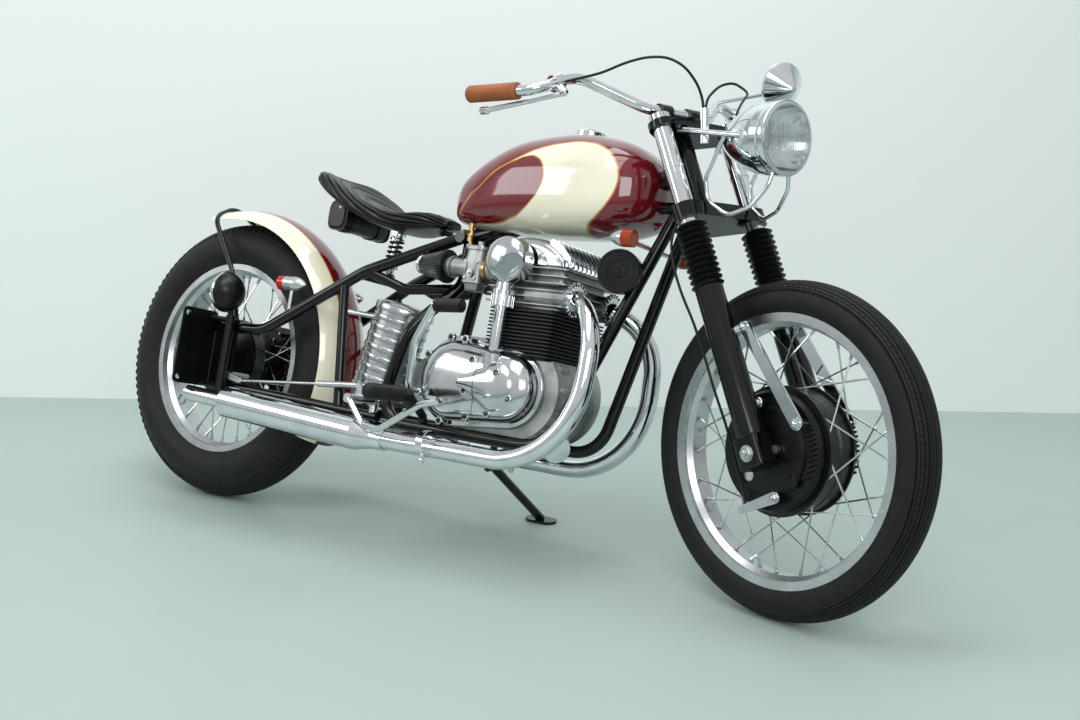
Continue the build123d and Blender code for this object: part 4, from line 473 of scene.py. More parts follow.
def two_finish(name, dark, bright, rough, factor_of, metallic=(0.0, 1.0)):
    """One solid of two finishes, told apart by place: a factor of 0 gives the first, 1 the second."""
    material, tree, shader = new_material(name, dark, rough[0])
    factor = factor_of(tree)
    tinted(tree, shader, factor, dark, bright)
    surface = grain(tree, 2.0)
    level = add_node(tree, RANGE, {"Value": factor, "To Min": rough[0], "To Max": rough[1]})
    wear = add_node(tree, RANGE, {"Value": surface, "From Min": 0.3, "From Max": 0.7,
                                  "To Min": 0.85, "To Max": 1.2})
    roughness = add_node(tree, MATHS, {0: level, 1: wear}, operation="MULTIPLY")
    tree.links.new(roughness, shader.inputs["Roughness"])
    metal_share = add_node(tree, RANGE, {"Value": factor, "To Min": metallic[0], "To Max": metallic[1]})
    tree.links.new(metal_share, shader.inputs["Metallic"])
    bumped(tree, shader, surface, 0.01, 0.4)
    return material


def past_axle(centre, reach):
    """One beyond a distance from a wheel's middle, where the solid is spokes and not hub."""
    def factor_of(tree):
        far = add_node(tree, VECTORS, {0: object_place(tree), 1: [float(c) for c in centre]}, "Value",
                       operation="DISTANCE")
        return add_node(tree, RANGE, {"Value": far, "From Min": reach - MM, "From Max": reach + MM})
    return factor_of


# Hubs in satin black with bright stainless spokes
rear_hub_finish = two_finish("black_hub_and_steel_spokes", "#08090a", "#d2d4d6", (0.34, 0.18),
                             past_axle(parked(REAR_AXLE), 0.106))
front_hub_finish = two_finish("black_drum_and_steel_spokes", "#08090a", "#d2d4d6", (0.34, 0.18),
                              past_axle(parked(FRONT_AXLE, True), 0.127))
# Bullet lamps: satin silver bodies with coloured plastic lenses, red behind and amber in front
REAR_LENS_X, FRONT_LENS_X = 216.0, 1098.4


def behind_rear_lens(tree):
    """One behind the front edge of the rear lenses."""
    return below(tree, upright_place(tree)[0], REAR_LENS_X)


def ahead_of_front_lens(tree):
    """One ahead of the rear edge of the front lenses."""
    return add_node(tree, RANGE, {"Value": upright_place(tree)[0], "From Min": FRONT_LENS_X - 0.4,
                                  "From Max": FRONT_LENS_X + 0.4})


rear_signal_finish = two_finish("silver_body_red_lens", "#c9cbcb", "#b3180c", (0.3, 0.12),
                                behind_rear_lens, (0.9, 0.0))
front_signal_finish = two_finish("silver_body_amber_lens", "#c9cbcb", "#96330a", (0.3, 0.08),
                                 ahead_of_front_lens, (0.9, 0.0))


def fluted_glass():
    """Clear pressed glass: upright flutes in a band across the middle of the lens, 48 mm high."""
    flute_mm, band_half = 6.0, 24.0
    material, tree, shader = new_material("fluted_lamp_glass", "#f4f8f8", 0.03, Transmission_Weight=0.92)
    middle, beside, over = parked([LAMP_FRONT, LAMP_FRONT + LEFT, LAMP_FRONT + UP], True)
    place = object_place(tree)
    across, height = (shifted(tree, place, (tip - middle) / MM, -float(middle @ (tip - middle)) / MM / MM)
                      for tip in (beside, over))
    turned_across = add_node(tree, MATHS, {0: across, 1: 2 * math.pi / flute_mm}, operation="MULTIPLY")
    flute = add_node(tree, MATHS, {0: turned_across}, operation="SINE")
    in_band = near(tree, height, band_half, 3.0)
    bumped(tree, shader, add_node(tree, MATHS, {0: flute, 1: in_band}, operation="MULTIPLY"), 0.5, 0.5)
    return material


lens_glass = fluted_glass()

NODE_FINISH = {
    "rear_tyre": tyre_rubber, "front_tyre": tyre_rubber, "rear_rim": satin_alloy, "front_rim": satin_alloy,
    "rear_hub": rear_hub_finish, "front_hub": front_hub_finish, "rear_sprocket": oiled_steel,
    "drive_chain": oiled_steel, "crankcase": cast_alloy, "right_engine_cover": polished_alloy,
    "left_engine_cover": polished_alloy, "cylinder_block": fin_black, "cylinder_head": cast_alloy,
    "cam_cover": polished_alloy, "cam_drive_tower": chrome, "carburettors": cast_alloy,
    "air_filters": gauze, "right_exhaust": chrome, "left_exhaust": chrome, "fuel_tank": tank_paint,
    "tank_cap": chrome, "seat": black_hide, "seat_strut": chrome, "tool_roll": black_hide,
    "oil_canister": polished_alloy, "rear_fender": fender_paint, "plate_carrier": satin_black,
    "tail_lamp": black_plastic, "rear_signals": rear_signal_finish,
    "front_signals": front_signal_finish,
    "horn": black_plastic, "foot_pegs": gaiter_rubber, "brake_pedal": chrome, "kick_starter": chrome,
    "gear_lever": chrome, "rear_brake": satin_black, "fork_stanchions": chrome,
    "fork_gaiters": gaiter_rubber, "handlebar": chrome, "hand_grips": tan_rubber, "hand_levers": chrome,
    "headlamp_shell": chrome, "headlamp_lens": lens_glass, "lamp_bracket": chrome, "mirror": chrome,
    "front_brake_panels": satin_black, "torque_links": chrome, "control_cables": gaiter_rubber,
}

for node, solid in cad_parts.items():
    solid.data.materials.clear()
    solid.data.materials.append(NODE_FINISH.get(node, frame_enamel))


# Tyres

RIM_LIP = 13.0


def tyre(name, centre, outer, section, rim_radius, rim_half, tread, counts, relief, body, steered, replaces):
    """Round section outside, from bead to bead, with tread cut into its crown by a relief function."""
    middle = outer - section
    foot = math.asin((rim_radius + 4.0 - middle) / section)
    edge = tread / section
    around = np.linspace(0, 2 * math.pi, counts[0], endpoint=False)
    across = np.concatenate((
        np.linspace(foot, math.pi / 2 - edge, 15, endpoint=False),
        np.linspace(math.pi / 2 - edge, math.pi / 2 + edge, counts[1], endpoint=False),
        np.linspace(math.pi / 2 + edge, math.pi - foot, 15),
    ))
    turn, tilt = np.meshgrid(around, across, indexing="ij")
    radius = section + relief(turn, tilt)
    ring = [(middle + radius * np.sin(tilt), -radius * np.cos(tilt))]
    bead = rim_radius - RIM_LIP + 2.0
    for side in (rim_half - 5.0, 0.0, 5.0 - rim_half):
        ring.append((np.full((len(around), 1), bead), np.full((len(around), 1), side)))
    out = np.hstack([r for r, _ in ring])
    side = np.hstack([s for _, s in ring])
    turn = np.broadcast_to(around[:, None], out.shape)
    points = np.stack((out * np.cos(turn), side, out * np.sin(turn)), -1) + centre
    faces = grid_faces(out.shape[0], out.shape[1], close_rows=True)
    return piece(name, (points.reshape(-1, 3), faces), tyre_rubber, body, steered, 40.0, replaces)


def wave(value, edge=0.25):
    """A square wave from 0 to 1 with softened edges, of period one."""
    return np.clip((np.abs((value % 1.0) - 0.5) - 0.25) / edge + 0.5, 0, 1)


def rear_relief(turn, tilt):
    """Sawtooth blocks on both shoulders, zigzag grooves round the crown and fine rings on the walls."""
    arc = (tilt - math.pi / 2) * REAR_SECTION
    pitch = turn / (2 * math.pi) * 104
    crown = np.clip((56.0 - np.abs(arc)) / 1.5, 0, 1)
    saw = 48.0 + 7.0 * (2 * np.abs(((2 * pitch + np.sign(arc) * 0.25) % 1.0) - 0.5))
    shoulder = np.clip((np.abs(arc) - saw) / 1.5, 0, 1) * crown
    teeth = wave(pitch + np.sign(arc) * 0.25, 0.12) * np.clip((np.abs(arc) - 34.0) / 2.0, 0, 1) * crown
    zigzag = 5.0 * np.abs(((pitch + 0.5) % 1.0) - 0.5)
    groove = np.zeros_like(arc)
    for place in (-26.0, -13.0, 0.0, 13.0, 26.0):
        groove = np.maximum(groove, np.clip(1.7 - np.abs(arc - place - zigzag + 1.2) / 1.3, 0, 1))
    rings = 0.4 * np.clip(np.cos(arc * 1.2), 0, 1) * (np.abs(arc) > 74.0) * (np.abs(arc) < 92.0)
    plain = 1 - crown
    return -3.6 * np.maximum(np.maximum(teeth * 0.8, groove * crown), shoulder) - 3.6 * plain + rings


def front_relief(turn, tilt):
    """Ribs round the crown and down to the shoulders, with small cross cuts between the outer ones."""
    arc = (tilt - math.pi / 2) * FRONT_SECTION
    pitch = turn / (2 * math.pi) * 150
    groove = np.zeros_like(arc)
    for place in (4.5, 12.0, 19.5, 27.0, 34.5, 41.0):
        groove = np.maximum(groove, np.clip(1.5 - np.abs(np.abs(arc) - place) / 1.0, 0, 1))
    between_ribs = np.clip(np.abs(arc) - 27.5, 0, 1) * np.clip(34.0 - np.abs(arc), 0, 1)
    cuts = wave(pitch, 0.15) * between_ribs
    plain = np.clip((np.abs(arc) - 43.0) / 1.5, 0, 1)
    return -2.4 * groove - 1.6 * cuts - 1.2 * plain


tyre("rear_tread", REAR_AXLE, REAR_RADIUS, REAR_SECTION, rim_radius=229.4, rim_half=44.0, tread=58.0,
     counts=(832, 74), relief=rear_relief, body="rear_wheel", steered=False, replaces=("rear_tyre",))
tyre("front_tread", FRONT_AXLE, FRONT_RADIUS, FRONT_SECTION, rim_radius=254.3, rim_half=33.0, tread=46.0,
     counts=(750, 92), relief=front_relief, body="front_wheel", steered=True, replaces=("front_tyre",))

# Fittings


def rod(start, end, radius, sides=24):
    """A plain round bar between two points."""
    start, end = np.asarray(start, float), np.asarray(end, float)
    length = np.linalg.norm(end - start)
    return lathe([(0, 0), (radius, 0), (radius, length), (0, length)], start, end - start, sides)


def turned_on(profile, start, end, sides=48):
    """A profile of radius and share of the length, carried round the line between two points."""
    start, end = np.asarray(start, float), np.asarray(end, float)
    length = np.linalg.norm(end - start)
    return lathe([(r, h * length) for r, h in profile], start, end - start, sides)


def cap_screw(place, axis, radius=5.2, height=3.5, depth=9.0):
    """A socket cap screw: a round head with a broken edge and a blind socket in it."""
    return lathe([(0, -depth), (radius, -depth), (radius, height - 0.8), (radius - 0.8, height),
                  (radius * 0.52, height), (radius * 0.5, height - 2.6), (0, height - 2.6)],
                 place, axis, 20)


def hex_nut(place, axis, across=14.0, height=7.0, washer=1.4):
    """A hexagon nut on a round washer: six flats, a turned chamfer and the thread end."""
    corner = across / math.sqrt(3)
    nut = lathe([(0, 0), (corner, 0), (corner, height - 1.0), (corner - 1.2, height), (0, height)],
                np.asarray(place, float), axis, 6)
    ring = lathe([(0, -0.5), (corner * 1.2, -0.5), (corner * 1.2, washer), (0, washer)], place, axis, 24)
    stud = lathe([(0, 0), (across * 0.28, 0), (across * 0.28, height + 2.5), (across * 0.2, height + 3.5),
                  (0, height + 3.5)], place, axis, 16)
    return joined(nut, ring, stud)


def helix(start, end, radius, turns, steps=24):
    """A screw line round the line between two points."""
    start, end = np.asarray(start, float), np.asarray(end, float)
    axis, across, over = frame_of(end - start)
    count = int(turns * steps) + 1
    turn = np.linspace(0, turns * 2 * math.pi, count)
    return (start + np.linspace(0, 1, count)[:, None] * (end - start)
            + radius * (np.cos(turn)[:, None] * across + np.sin(turn)[:, None] * over))


def ribbed(start, end, radius, ribs, depth, sides=40):
    """A moulded rubber sleeve: ribs of a cosine profile round it, and rounded ends."""
    share = np.linspace(0, 1, ribs * 8 + 1)
    wave_out = radius - depth * (0.5 + 0.5 * np.cos(share * ribs * 2 * math.pi)) ** 2
    profile = [(0, 0), (radius - 2 * depth, 0)] + list(zip(wave_out, 0.01 + share * 0.98))
    return turned_on(profile + [(radius - 2 * depth, 1), (0, 1)], start, end, sides)


def hull_ring(first, second, share=1.0, steps=40):
    """The outline round two circles of place and radius: an arc of each, at a share of the full radii."""
    first, second = np.asarray(first, float), np.asarray(second, float)
    line = math.atan2(second[1] - first[1], second[0] - first[0])
    open_half = math.acos((first[2] - second[2]) / math.hypot(*(second - first)[:2]))
    arcs = ((first, np.linspace(line + open_half, line + 2 * math.pi - open_half, steps)),
            (second, np.linspace(line - open_half, line + open_half, steps)))
    return np.concatenate([circle[:2] + share * circle[2] * np.stack((np.cos(angle), np.sin(angle)), -1)
                           for circle, angle in arcs])


def plate(outline, origin, along, across, low, high, bevel=0.8):
    """A flat outline of two distances, carried between two heights on its normal, with broken edges."""
    outline = np.asarray(outline, float)
    middle = outline.mean(0)
    arms = outline - middle
    inset = middle + arms * (1 - bevel / np.linalg.norm(arms, axis=1))[:, None]
    flat_middle = np.broadcast_to(middle, outline.shape)
    normal = np.cross(along, across)
    rows = [origin + flat[:, :1] * along + flat[:, 1:] * across + height * normal for flat, height in (
        (flat_middle, low), (inset, low), (outline, low + bevel), (outline, high - bevel), (inset, high),
        (flat_middle, high))]
    return ringed(rows)


def strap(start, end, start_half, end_half, thickness, normal, bevel=0.8):
    """A flat bar with round ends between two places, from its half widths, its thickness and its normal."""
    start, end = np.asarray(start, float), np.asarray(end, float)
    length = np.linalg.norm(end - start)
    along = (end - start) / length
    across = np.cross(normal, along)
    outline = hull_ring((0, 0, start_half), (length, 0, end_half), steps=20)
    return plate(outline, start, along, across, -thickness / 2, thickness / 2, bevel)


def pillow(first, second, foot, rise, power, rows=16):
    """Rings inside two circles' outline: at a share s of the radius, rise (1 - s^power)^(1/power) proud."""
    shares = np.sin(np.linspace(math.pi / 2, 0, rows))
    heights = rise * (1 - shares**power) ** (1 / power)
    rings = [np.insert(hull_ring(first, second, share), 1, foot - height, axis=1)
             for share, height in zip(shares, heights)]
    base = rings[0] + (0, 4, 0)
    rings = [np.broadcast_to(base.mean(0), base.shape), base] + rings
    return ringed(rings)


def proud(first, second, foot, rise, power, x, z):
    """How far out a pillow lies at a place: that height, at the least share of a circle along its line."""
    step = np.linspace(0, 1, 200)[:, None]
    circles = np.asarray(first, float) * (1 - step) + np.asarray(second, float) * step
    share = min(1.0, float((np.hypot(x - circles[:, 0], z - circles[:, 1]) / circles[:, 2]).min()))
    return foot - rise * (1 - share**power) ** (1 / power)


def stacked(stations, origin, across, over, power=3.33, steps=96):
    """Superellipse sections from a table of height, half width and half depth, joined along their normal."""
    turn = np.linspace(0, 2 * math.pi, steps, endpoint=False)
    wide = np.sign(np.cos(turn)) * np.abs(np.cos(turn)) ** (2 / power)
    deep = np.sign(np.sin(turn)) * np.abs(np.sin(turn)) ** (2 / power)
    normal = np.cross(across, over)
    rings = [origin + w * wide[:, None] * across + d * deep[:, None] * over + h * normal
             for h, w, d in stations]
    return ringed(rings)


# Air filters: pleated gauze cones with a rubber flange and a pressed cap
INTAKE_Y, INTAKE_Z, FILTER_X, FILTER_LENGTH = 78.0, 592.0, 655.0, 76.0
FILTER_SIDES, PLEATS, PLEAT_DEPTH = 384, 32, 0.085
cones, flanges, caps = [], [], []
for side in (-1, 1):
    turn, run = np.meshgrid(np.linspace(0, 2 * math.pi, FILTER_SIDES, endpoint=False), np.linspace(0, 1, 5),
                            indexing="ij")
    base = 35.0 - 15.0 * run
    radius = base * (1 - PLEAT_DEPTH * np.abs(((turn * PLEATS / (2 * math.pi)) % 1.0) * 2 - 1))
    points = np.stack((FILTER_X - 8.0 - run * (FILTER_LENGTH - 11.0),
                       side * INTAKE_Y + radius * np.cos(turn), INTAKE_Z + radius * np.sin(turn)), -1)
    ends = np.full((FILTER_SIDES, 1, 3), (0.0, side * INTAKE_Y, INTAKE_Z))
    ends[:, :, 0] = FILTER_X - 8.0
    tail = ends.copy()
    tail[:, :, 0] = FILTER_X - FILTER_LENGTH + 3.0
    points = np.concatenate((ends, points, tail), 1)
    cones.append((points.reshape(-1, 3), grid_faces(FILTER_SIDES, 7, close_rows=True, close_columns=False)))
    middle = np.array((FILTER_X, side * INTAKE_Y, INTAKE_Z))
    flanges.append(lathe([(0, -1), (28, -1), (34, 0), (36, 2), (36, 9), (35, 11), (30, 12), (0, 12)],
                         middle, (-1, 0, 0)))
    caps.append(lathe([(0, 0), (20.5, 0), (21.0, 1), (21.0, 6), (20, 8), (12, 9.5), (0, 10)],
                      middle - (FILTER_LENGTH - 7, 0, 0), (-1, 0, 0)))
piece("filter_pleats", joined(*cones), gauze, "frame", sharp=25.0, replaces=("air_filters",))
piece("filter_flanges", joined(*flanges), gaiter_rubber, "frame")
piece("filter_caps", joined(*caps), chrome, "frame")

# Seat strut: chrome damper body and eyes, a black coil spring, and the cross tube that it stands on
strut_foot, strut_top = np.array((421.0, 0.0, 555.0)), np.array((440.0, 0.0, 684.0))
strut_run = strut_top - strut_foot
piece("strut_body", joined(
    turned_on([(0, 0.02), (12, 0.02), (13, 0.04), (13, 0.16), (11, 0.18), (11, 0.22), (18, 0.24), (18, 0.27),
               (8, 0.28), (8, 0.72), (17, 0.73), (17, 0.76), (12, 0.78), (13, 0.90), (11, 0.93), (11, 0.99),
               (0, 0.99)], strut_foot, strut_top),
    rod(strut_foot + strut_run * 0.86 + (0, -17, 0), strut_foot + strut_run * 0.86 + (0, 17, 0), 7),
    rod(strut_foot + strut_run * 0.1 + (0, -17, 0), strut_foot + strut_run * 0.1 + (0, 17, 0), 8)),
    chrome, "frame", replaces=("seat_strut",))
coil = helix(strut_foot + strut_run * 0.27, strut_foot + strut_run * 0.73, 14.5, 5.5)
piece("strut_spring", pipe(coil, 2.6, 12), satin_black, "frame")
piece("strut_cross_tube", rod((420.5, -84.0, 553.3), (420.5, 84.0, 553.3), 9.0), frame_enamel, "frame")

# Hand grips: ribbed rubber sleeves with a flange at the inner end
BAR_END, BAR_BEND = (-240.0, 345.0, 834.0), (-93.0, 310.0, 766.0)
grips = []
for side in (-1, 1):
    outer = on_fork(BAR_END[0], side * BAR_END[1], BAR_END[2])
    inner = on_fork(BAR_BEND[0], side * BAR_BEND[1], BAR_BEND[2])
    inner = outer + (inner - outer) / np.linalg.norm(inner - outer) * 122.0
    grips.append(ribbed(outer, outer + (inner - outer) * 0.94, 17.0, 15, 1.6))
    grips.append(turned_on([(0, 0.92), (16, 0.92), (17, 0.94), (17, 0.985), (15, 1), (0, 1)], outer, inner))
piece("grip_sleeves", joined(*grips), tan_rubber, "steering", steered=True, replaces=("hand_grips",))

# Headlamp: a chrome rim, a bowl reflector and a bulb behind the lens
rim = [(62, 3.2), (62.6, 5.4), (66, 4.9), (69.6, 2.6), (71, -1), (71, -14), (70, -15.5), (69.5, -14),
       (69.5, -0.5), (66, 1.6)]
piece("lamp_rim", closed_lathe(rim, LAMP_FRONT, AHEAD, 96), chrome, "steering", steered=True)
bowl = [(66.5 * t, -40 * (1 - t * t) - 2) for t in np.linspace(1, 0.12, 24)]
bowl_back = [(r, h - 1.5) for r, h in bowl[::-1]]
piece("lamp_reflector", closed_lathe(bowl + bowl_back, LAMP_FRONT, AHEAD, 96), chrome, "steering",
      steered=True)
piece("lamp_bulb", lathe([(0, -44), (8, -44), (8, -32), (6, -26), (3, -21), (0, -20)], LAMP_FRONT, AHEAD, 32),
      lens_glass, "steering", steered=True)

# Drive chain: outer and inner plates with rollers, along both runs and round both sprockets
CHAIN_PITCH, CHAIN_Y = 15.875, 78.0
rear_teeth, engine_teeth = 36, 15
rear_pitch_radius = CHAIN_PITCH / (2 * math.sin(math.pi / rear_teeth))
engine_pitch_radius = CHAIN_PITCH / (2 * math.sin(math.pi / engine_teeth))
engine_centre = np.array((640.0, 340.0))
rear_centre = np.array((0.0, REAR_RADIUS))
span = engine_centre - rear_centre
distance = np.linalg.norm(span)
along = span / distance
square = np.array((-along[1], along[0]))
slope = math.acos((rear_pitch_radius - engine_pitch_radius) / distance)


def round_sprocket(centre, radius, start, end):
    """Points of an arc about a sprocket's centre, with angles from the line of centres."""
    angle = np.linspace(start, end, 120)[:, None]
    return centre + radius * (np.cos(angle) * along + np.sin(angle) * square)


loop = np.vstack((round_sprocket(engine_centre, engine_pitch_radius, -slope, slope),
                  round_sprocket(rear_centre, rear_pitch_radius, slope, 2 * math.pi - slope)))
loop = np.vstack((loop, loop[:1]))
walked = np.concatenate(([0], np.cumsum(np.linalg.norm(np.diff(loop, axis=0), axis=1))))
links = int(round(walked[-1] / CHAIN_PITCH / 2)) * 2
stops = np.linspace(0, walked[-1], links, endpoint=False)
pins = np.stack([np.interp(stops, walked, loop[:, k]) for k in (0, 1)], -1)
plate_turn = np.linspace(0, 2 * math.pi, 20, endpoint=False)


def link_plates(first, second, inside, outside):
    """A waisted plate on each side between two pins, from a radius that narrows half way."""
    run = (second - first) / np.linalg.norm(second - first)
    lift = np.array((-run[1], run[0]))
    half = np.linalg.norm(second - first) / 2
    cosine, end_radius, waist = np.cos(plate_turn), 6.8, 0.72
    x = np.sign(cosine) * half + cosine * end_radius
    z = np.sin(plate_turn) * end_radius
    x = np.where(np.abs(cosine) < 0.2, 0.0, x)
    z = np.where(np.abs(cosine) < 0.2, z * waist, z)
    outline = (first + second) / 2 + x[:, None] * run + z[:, None] * lift
    shapes = []
    for y_in, y_out in ((inside, outside), (-outside, -inside)):
        rows = []
        for y, flat in ((y_in, outline.mean(0)), (y_in, outline), (y_out, outline), (y_out, outline.mean(0))):
            plane = np.broadcast_to(flat, (20, 2))
            rows.append(np.stack((plane[:, 0], np.full(20, CHAIN_Y + y), plane[:, 1]), -1))
        shapes.append(ringed(rows))
    return joined(*shapes)


plates, rollers = [], []
for index in range(links):
    first, second = pins[index], pins[(index + 1) % links]
    plates.append(link_plates(first, second, *((4.6, 6.2) if index % 2 else (6.3, 7.9))))
    for radius, half, sides in ((2.6, 8.4, 10), (5.0, 4.5, 12)):
        rollers.append(lathe([(0, -half), (radius, -half), (radius, half), (0, half)],
                             (first[0], CHAIN_Y, first[1]), LEFT, sides))
piece("chain_plates", joined(*plates), oiled_steel, "frame", sharp=40.0)
piece("chain_rollers", joined(*rollers), oiled_steel, "frame")

# Seat: a crowned, dished leather pad, with rolled channels that sweep out and forwards
SEAT_ROWS = np.array([
    # along and up as shares of the wheelbase, half width in 100 mm, thickness as a share, dish in mm
    (0.4030, 0.4745, 0.26, 0.0120, 0.0), (0.3720, 0.4760, 0.62, 0.0250, 0.0),
    (0.3150, 0.4710, 0.88, 0.0300, 4.0), (0.2600, 0.4845, 1.08, 0.0330, 10.0),
    (0.2130, 0.5080, 1.16, 0.0360, 14.0), (0.1790, 0.5265, 1.02, 0.0300, 12.0),
    (0.1640, 0.5335, 0.72, 0.0140, 4.0),
])


def padded_seat():
    """Superellipse sections along a smooth line; rolls of a half sine stand proud, and the top is dished."""
    rows = smooth_path(SEAT_ROWS, 36)
    along, up = rows[:, 0] * WHEELBASE, rows[:, 1] * WHEELBASE
    path = np.stack((along, np.zeros_like(along), up), -1)
    way = np.gradient(path, axis=0)
    way /= np.linalg.norm(way, axis=1)[:, None]
    lift = np.stack((way[:, 2], np.zeros_like(along), -way[:, 0]), -1)
    turn = np.linspace(0, 2 * math.pi, 280, endpoint=False)
    across, over = np.cos(turn), np.sin(turn)
    flat = np.sign(across) * np.abs(across) ** 0.62
    thick = np.sign(over) * np.abs(over) ** 0.72
    half = rows[:, 2, None] * 100.0
    height = rows[:, 3, None] * WHEELBASE / 2
    walked = np.linspace(0, 1, len(rows))[:, None]
    from_top = np.abs((turn + math.pi / 2) % (2 * math.pi) - math.pi)[None] / (math.pi / 2)
    roll = np.abs(np.sin(math.pi * (8.0 * walked + 4.0 * from_top))) ** 0.75
    inside = np.clip(walked / 0.06, 0, 1) * np.clip((1 - walked) / 0.05, 0, 1)
    shown = np.clip((1.7 - from_top) / 0.2, 0, 1) * inside
    swell = (roll - 1.0) * np.minimum(5.0, 0.5 * height) * shown
    dish = rows[:, 4, None] * (1 - flat[None] ** 2) * np.clip(over[None], 0, 1) ** 0.5
    lifted = thick[None] * (height + swell) - dish
    side = flat[None] * (half + swell)
    points = path[:, None] + side[..., None] * LEFT + lifted[..., None] * lift[:, None]
    ends = [np.repeat(path[k][None, None], len(turn), 1) for k in (0, -1)]
    return ringed(np.concatenate((ends[0], points, ends[1]), 0))


seat_pad = piece("seat_pad", padded_seat(), black_hide, "frame", sharp=60.0, replaces=("seat",))
nose = np.array((0.385 * WHEELBASE, 0.0, 0.4655 * WHEELBASE))
hinge_right, hinge_left = nose + (10, -16, -6), nose + (10, 16, -6)
piece("seat_hinge", joined(rod(hinge_right, hinge_left, 6), hex_nut(hinge_right, -LEFT)),
      satin_black, "frame")

# Tool roll: a soft round-cornered roll with raised end caps, two straps and their studs
ROLL_X, ROLL_Z, ROLL_HALF = 315.0, 686.0, 82.0


def rolled(stations):
    """Sections joined along the roll from a table of place, half width and half height."""
    return stacked([(-y, w, h) for y, w, h in stations], np.array((ROLL_X, 0.0, ROLL_Z)), AHEAD, UP)


roll = rolled([(-ROLL_HALF, 0, 0), (-ROLL_HALF, 21, 26), (-ROLL_HALF + 2, 22, 27), (-ROLL_HALF + 3, 25, 31),
               (-ROLL_HALF + 10, 26.5, 33), (-30, 26, 32), (30, 26, 32), (ROLL_HALF - 10, 26.5, 33),
               (ROLL_HALF - 3, 25, 31), (ROLL_HALF - 2, 22, 27), (ROLL_HALF, 21, 26), (ROLL_HALF, 0, 0)])
seams = [rolled([(y, 22, 27), (y, 28, 34.5), (y + 3.0, 28, 34.5), (y + 3.0, 22, 27)])
         for y in (-ROLL_HALF + 4, ROLL_HALF - 7)]
straps = [rolled([(y - 8, 24, 30), (y - 8, 28.2, 34.8), (y + 8, 28.2, 34.8), (y + 8, 24, 30)])
          for y in (-46, 46)]
tool_case = piece("tool_roll_case", joined(roll, *seams, *straps), black_hide, "frame", sharp=40.0,
                  replaces=("tool_roll",))
piece("tool_roll_studs", joined(*[
    lathe([(0, -1), (5, -1), (5, 1), (3, 2.6), (0, 3)], (ROLL_X - 27.8, y, ROLL_Z - 4), (-1, 0, 0), 20)
    for y in (-46, 46)], *[
    lathe([(0, -1), (4, -1), (4, 1), (2.5, 2.2), (0, 2.6)], (ROLL_X + 8, y * ROLL_HALF, ROLL_Z + 18),
          (0, y, 0), 20)
    for y in (-1, 1)]), chrome, "frame")

# Right engine cover: a bolted lip, a crowned dome over it, the timing lobe and the boot of the cam tower
LIP = ((735.0, 354.0, 94.0), (868.0, 352.0, 80.0))
DOME = ((735.0, 354.0, 85.0), (868.0, 352.0, 71.0), -91.0, 47.0, 2.7)
LOBE = ((777.5, 352.0, 15.0), (856.0, 352.0, 56.0), -112.0, 34.0, 2.5)
piece("right_cover_dome", joined(
    plate(hull_ring(*LIP), np.zeros(3), AHEAD, UP, 84.0, 92.0, 1.5), pillow(*DOME), pillow(*LOBE),
    rod((833, -116, 352), (833, -116, 418), 20.8, 40),
    lathe([(20.8, 0), (23.5, 0), (23.5, 7), (20.8, 7)], (833, -116, 411), (0, 0, 1), 40)),
    polished_alloy, "frame", sharp=50.0, replaces=("right_engine_cover",))
right_screws = [
    (716, 442), (753, 441), (795, 400), (866, 380), (898, 331), (789, 335), (847, 296), (790, 283),
    (719, 266), (664, 400), (652, 318),
]


def cover_side(x, z):
    """The outermost of the lip, the dome and the lobe at a place on the cover."""
    return min(-92.0, proud(*DOME, x, z), proud(*LOBE, x, z))


screw_places = [(x, cover_side(x, z), z) for x, z in right_screws]
piece("right_cover_screws", joined(*[cap_screw(place, -LEFT, 5.6, 2.4) for place in screw_places]),
      oiled_steel, "frame")
boss = [(5.6, -6), (9.2, -6), (8.6, 1.2), (7.8, 1.8), (5.6, 1.8)]
piece("right_cover_bosses", joined(*[closed_lathe(boss, place, -LEFT, 28) for place in screw_places]),
      polished_alloy, "frame")
split = smooth_path([(806, 418), (810, 396), (812, 372), (814, 350), (814, 330), (812, 306), (806, 286)], 10)
piece("right_cover_joint", pipe([(x, cover_side(x, z) + 0.2, z) for x, z in split], 0.8, 8),
      oiled_steel, "frame")

# Bevel cover: a crowned disc over the cam drive, with one slanting flat
turn = np.linspace(0, 2 * math.pi, 96, endpoint=False)[None]
BEVEL_X, BEVEL_FACE, BEVEL_FOOT, BEVEL_Z = 839, -142, -106.0, 611
crown_r = np.array([47.8, 47.8, 47.5, 46, 43, 38, 32, 26, 20, 14, 8, 0])[:, None]
crown_h = np.array([-36, -8, -4, 0, 3.5, 6.5, 8.6, 10.2, 11.3, 12.0, 12.4, 12.5])[:, None]
crown_x, crown_z = crown_r * np.cos(turn), crown_r * np.sin(turn)
slant = 11.5 - 0.42 * (0.75 * crown_x - 0.66 * crown_z - 6.0)
crown_h = np.minimum(crown_h + 0 * turn, slant)
crown = np.stack((BEVEL_X + crown_x, BEVEL_FACE - crown_h, BEVEL_Z + crown_z), -1)
crown = np.concatenate((np.broadcast_to((BEVEL_X, BEVEL_FOOT, BEVEL_Z), (1, 96, 3)), crown), 0)
piece("bevel_cover", ringed(crown), polished_alloy, "frame", sharp=28.0)

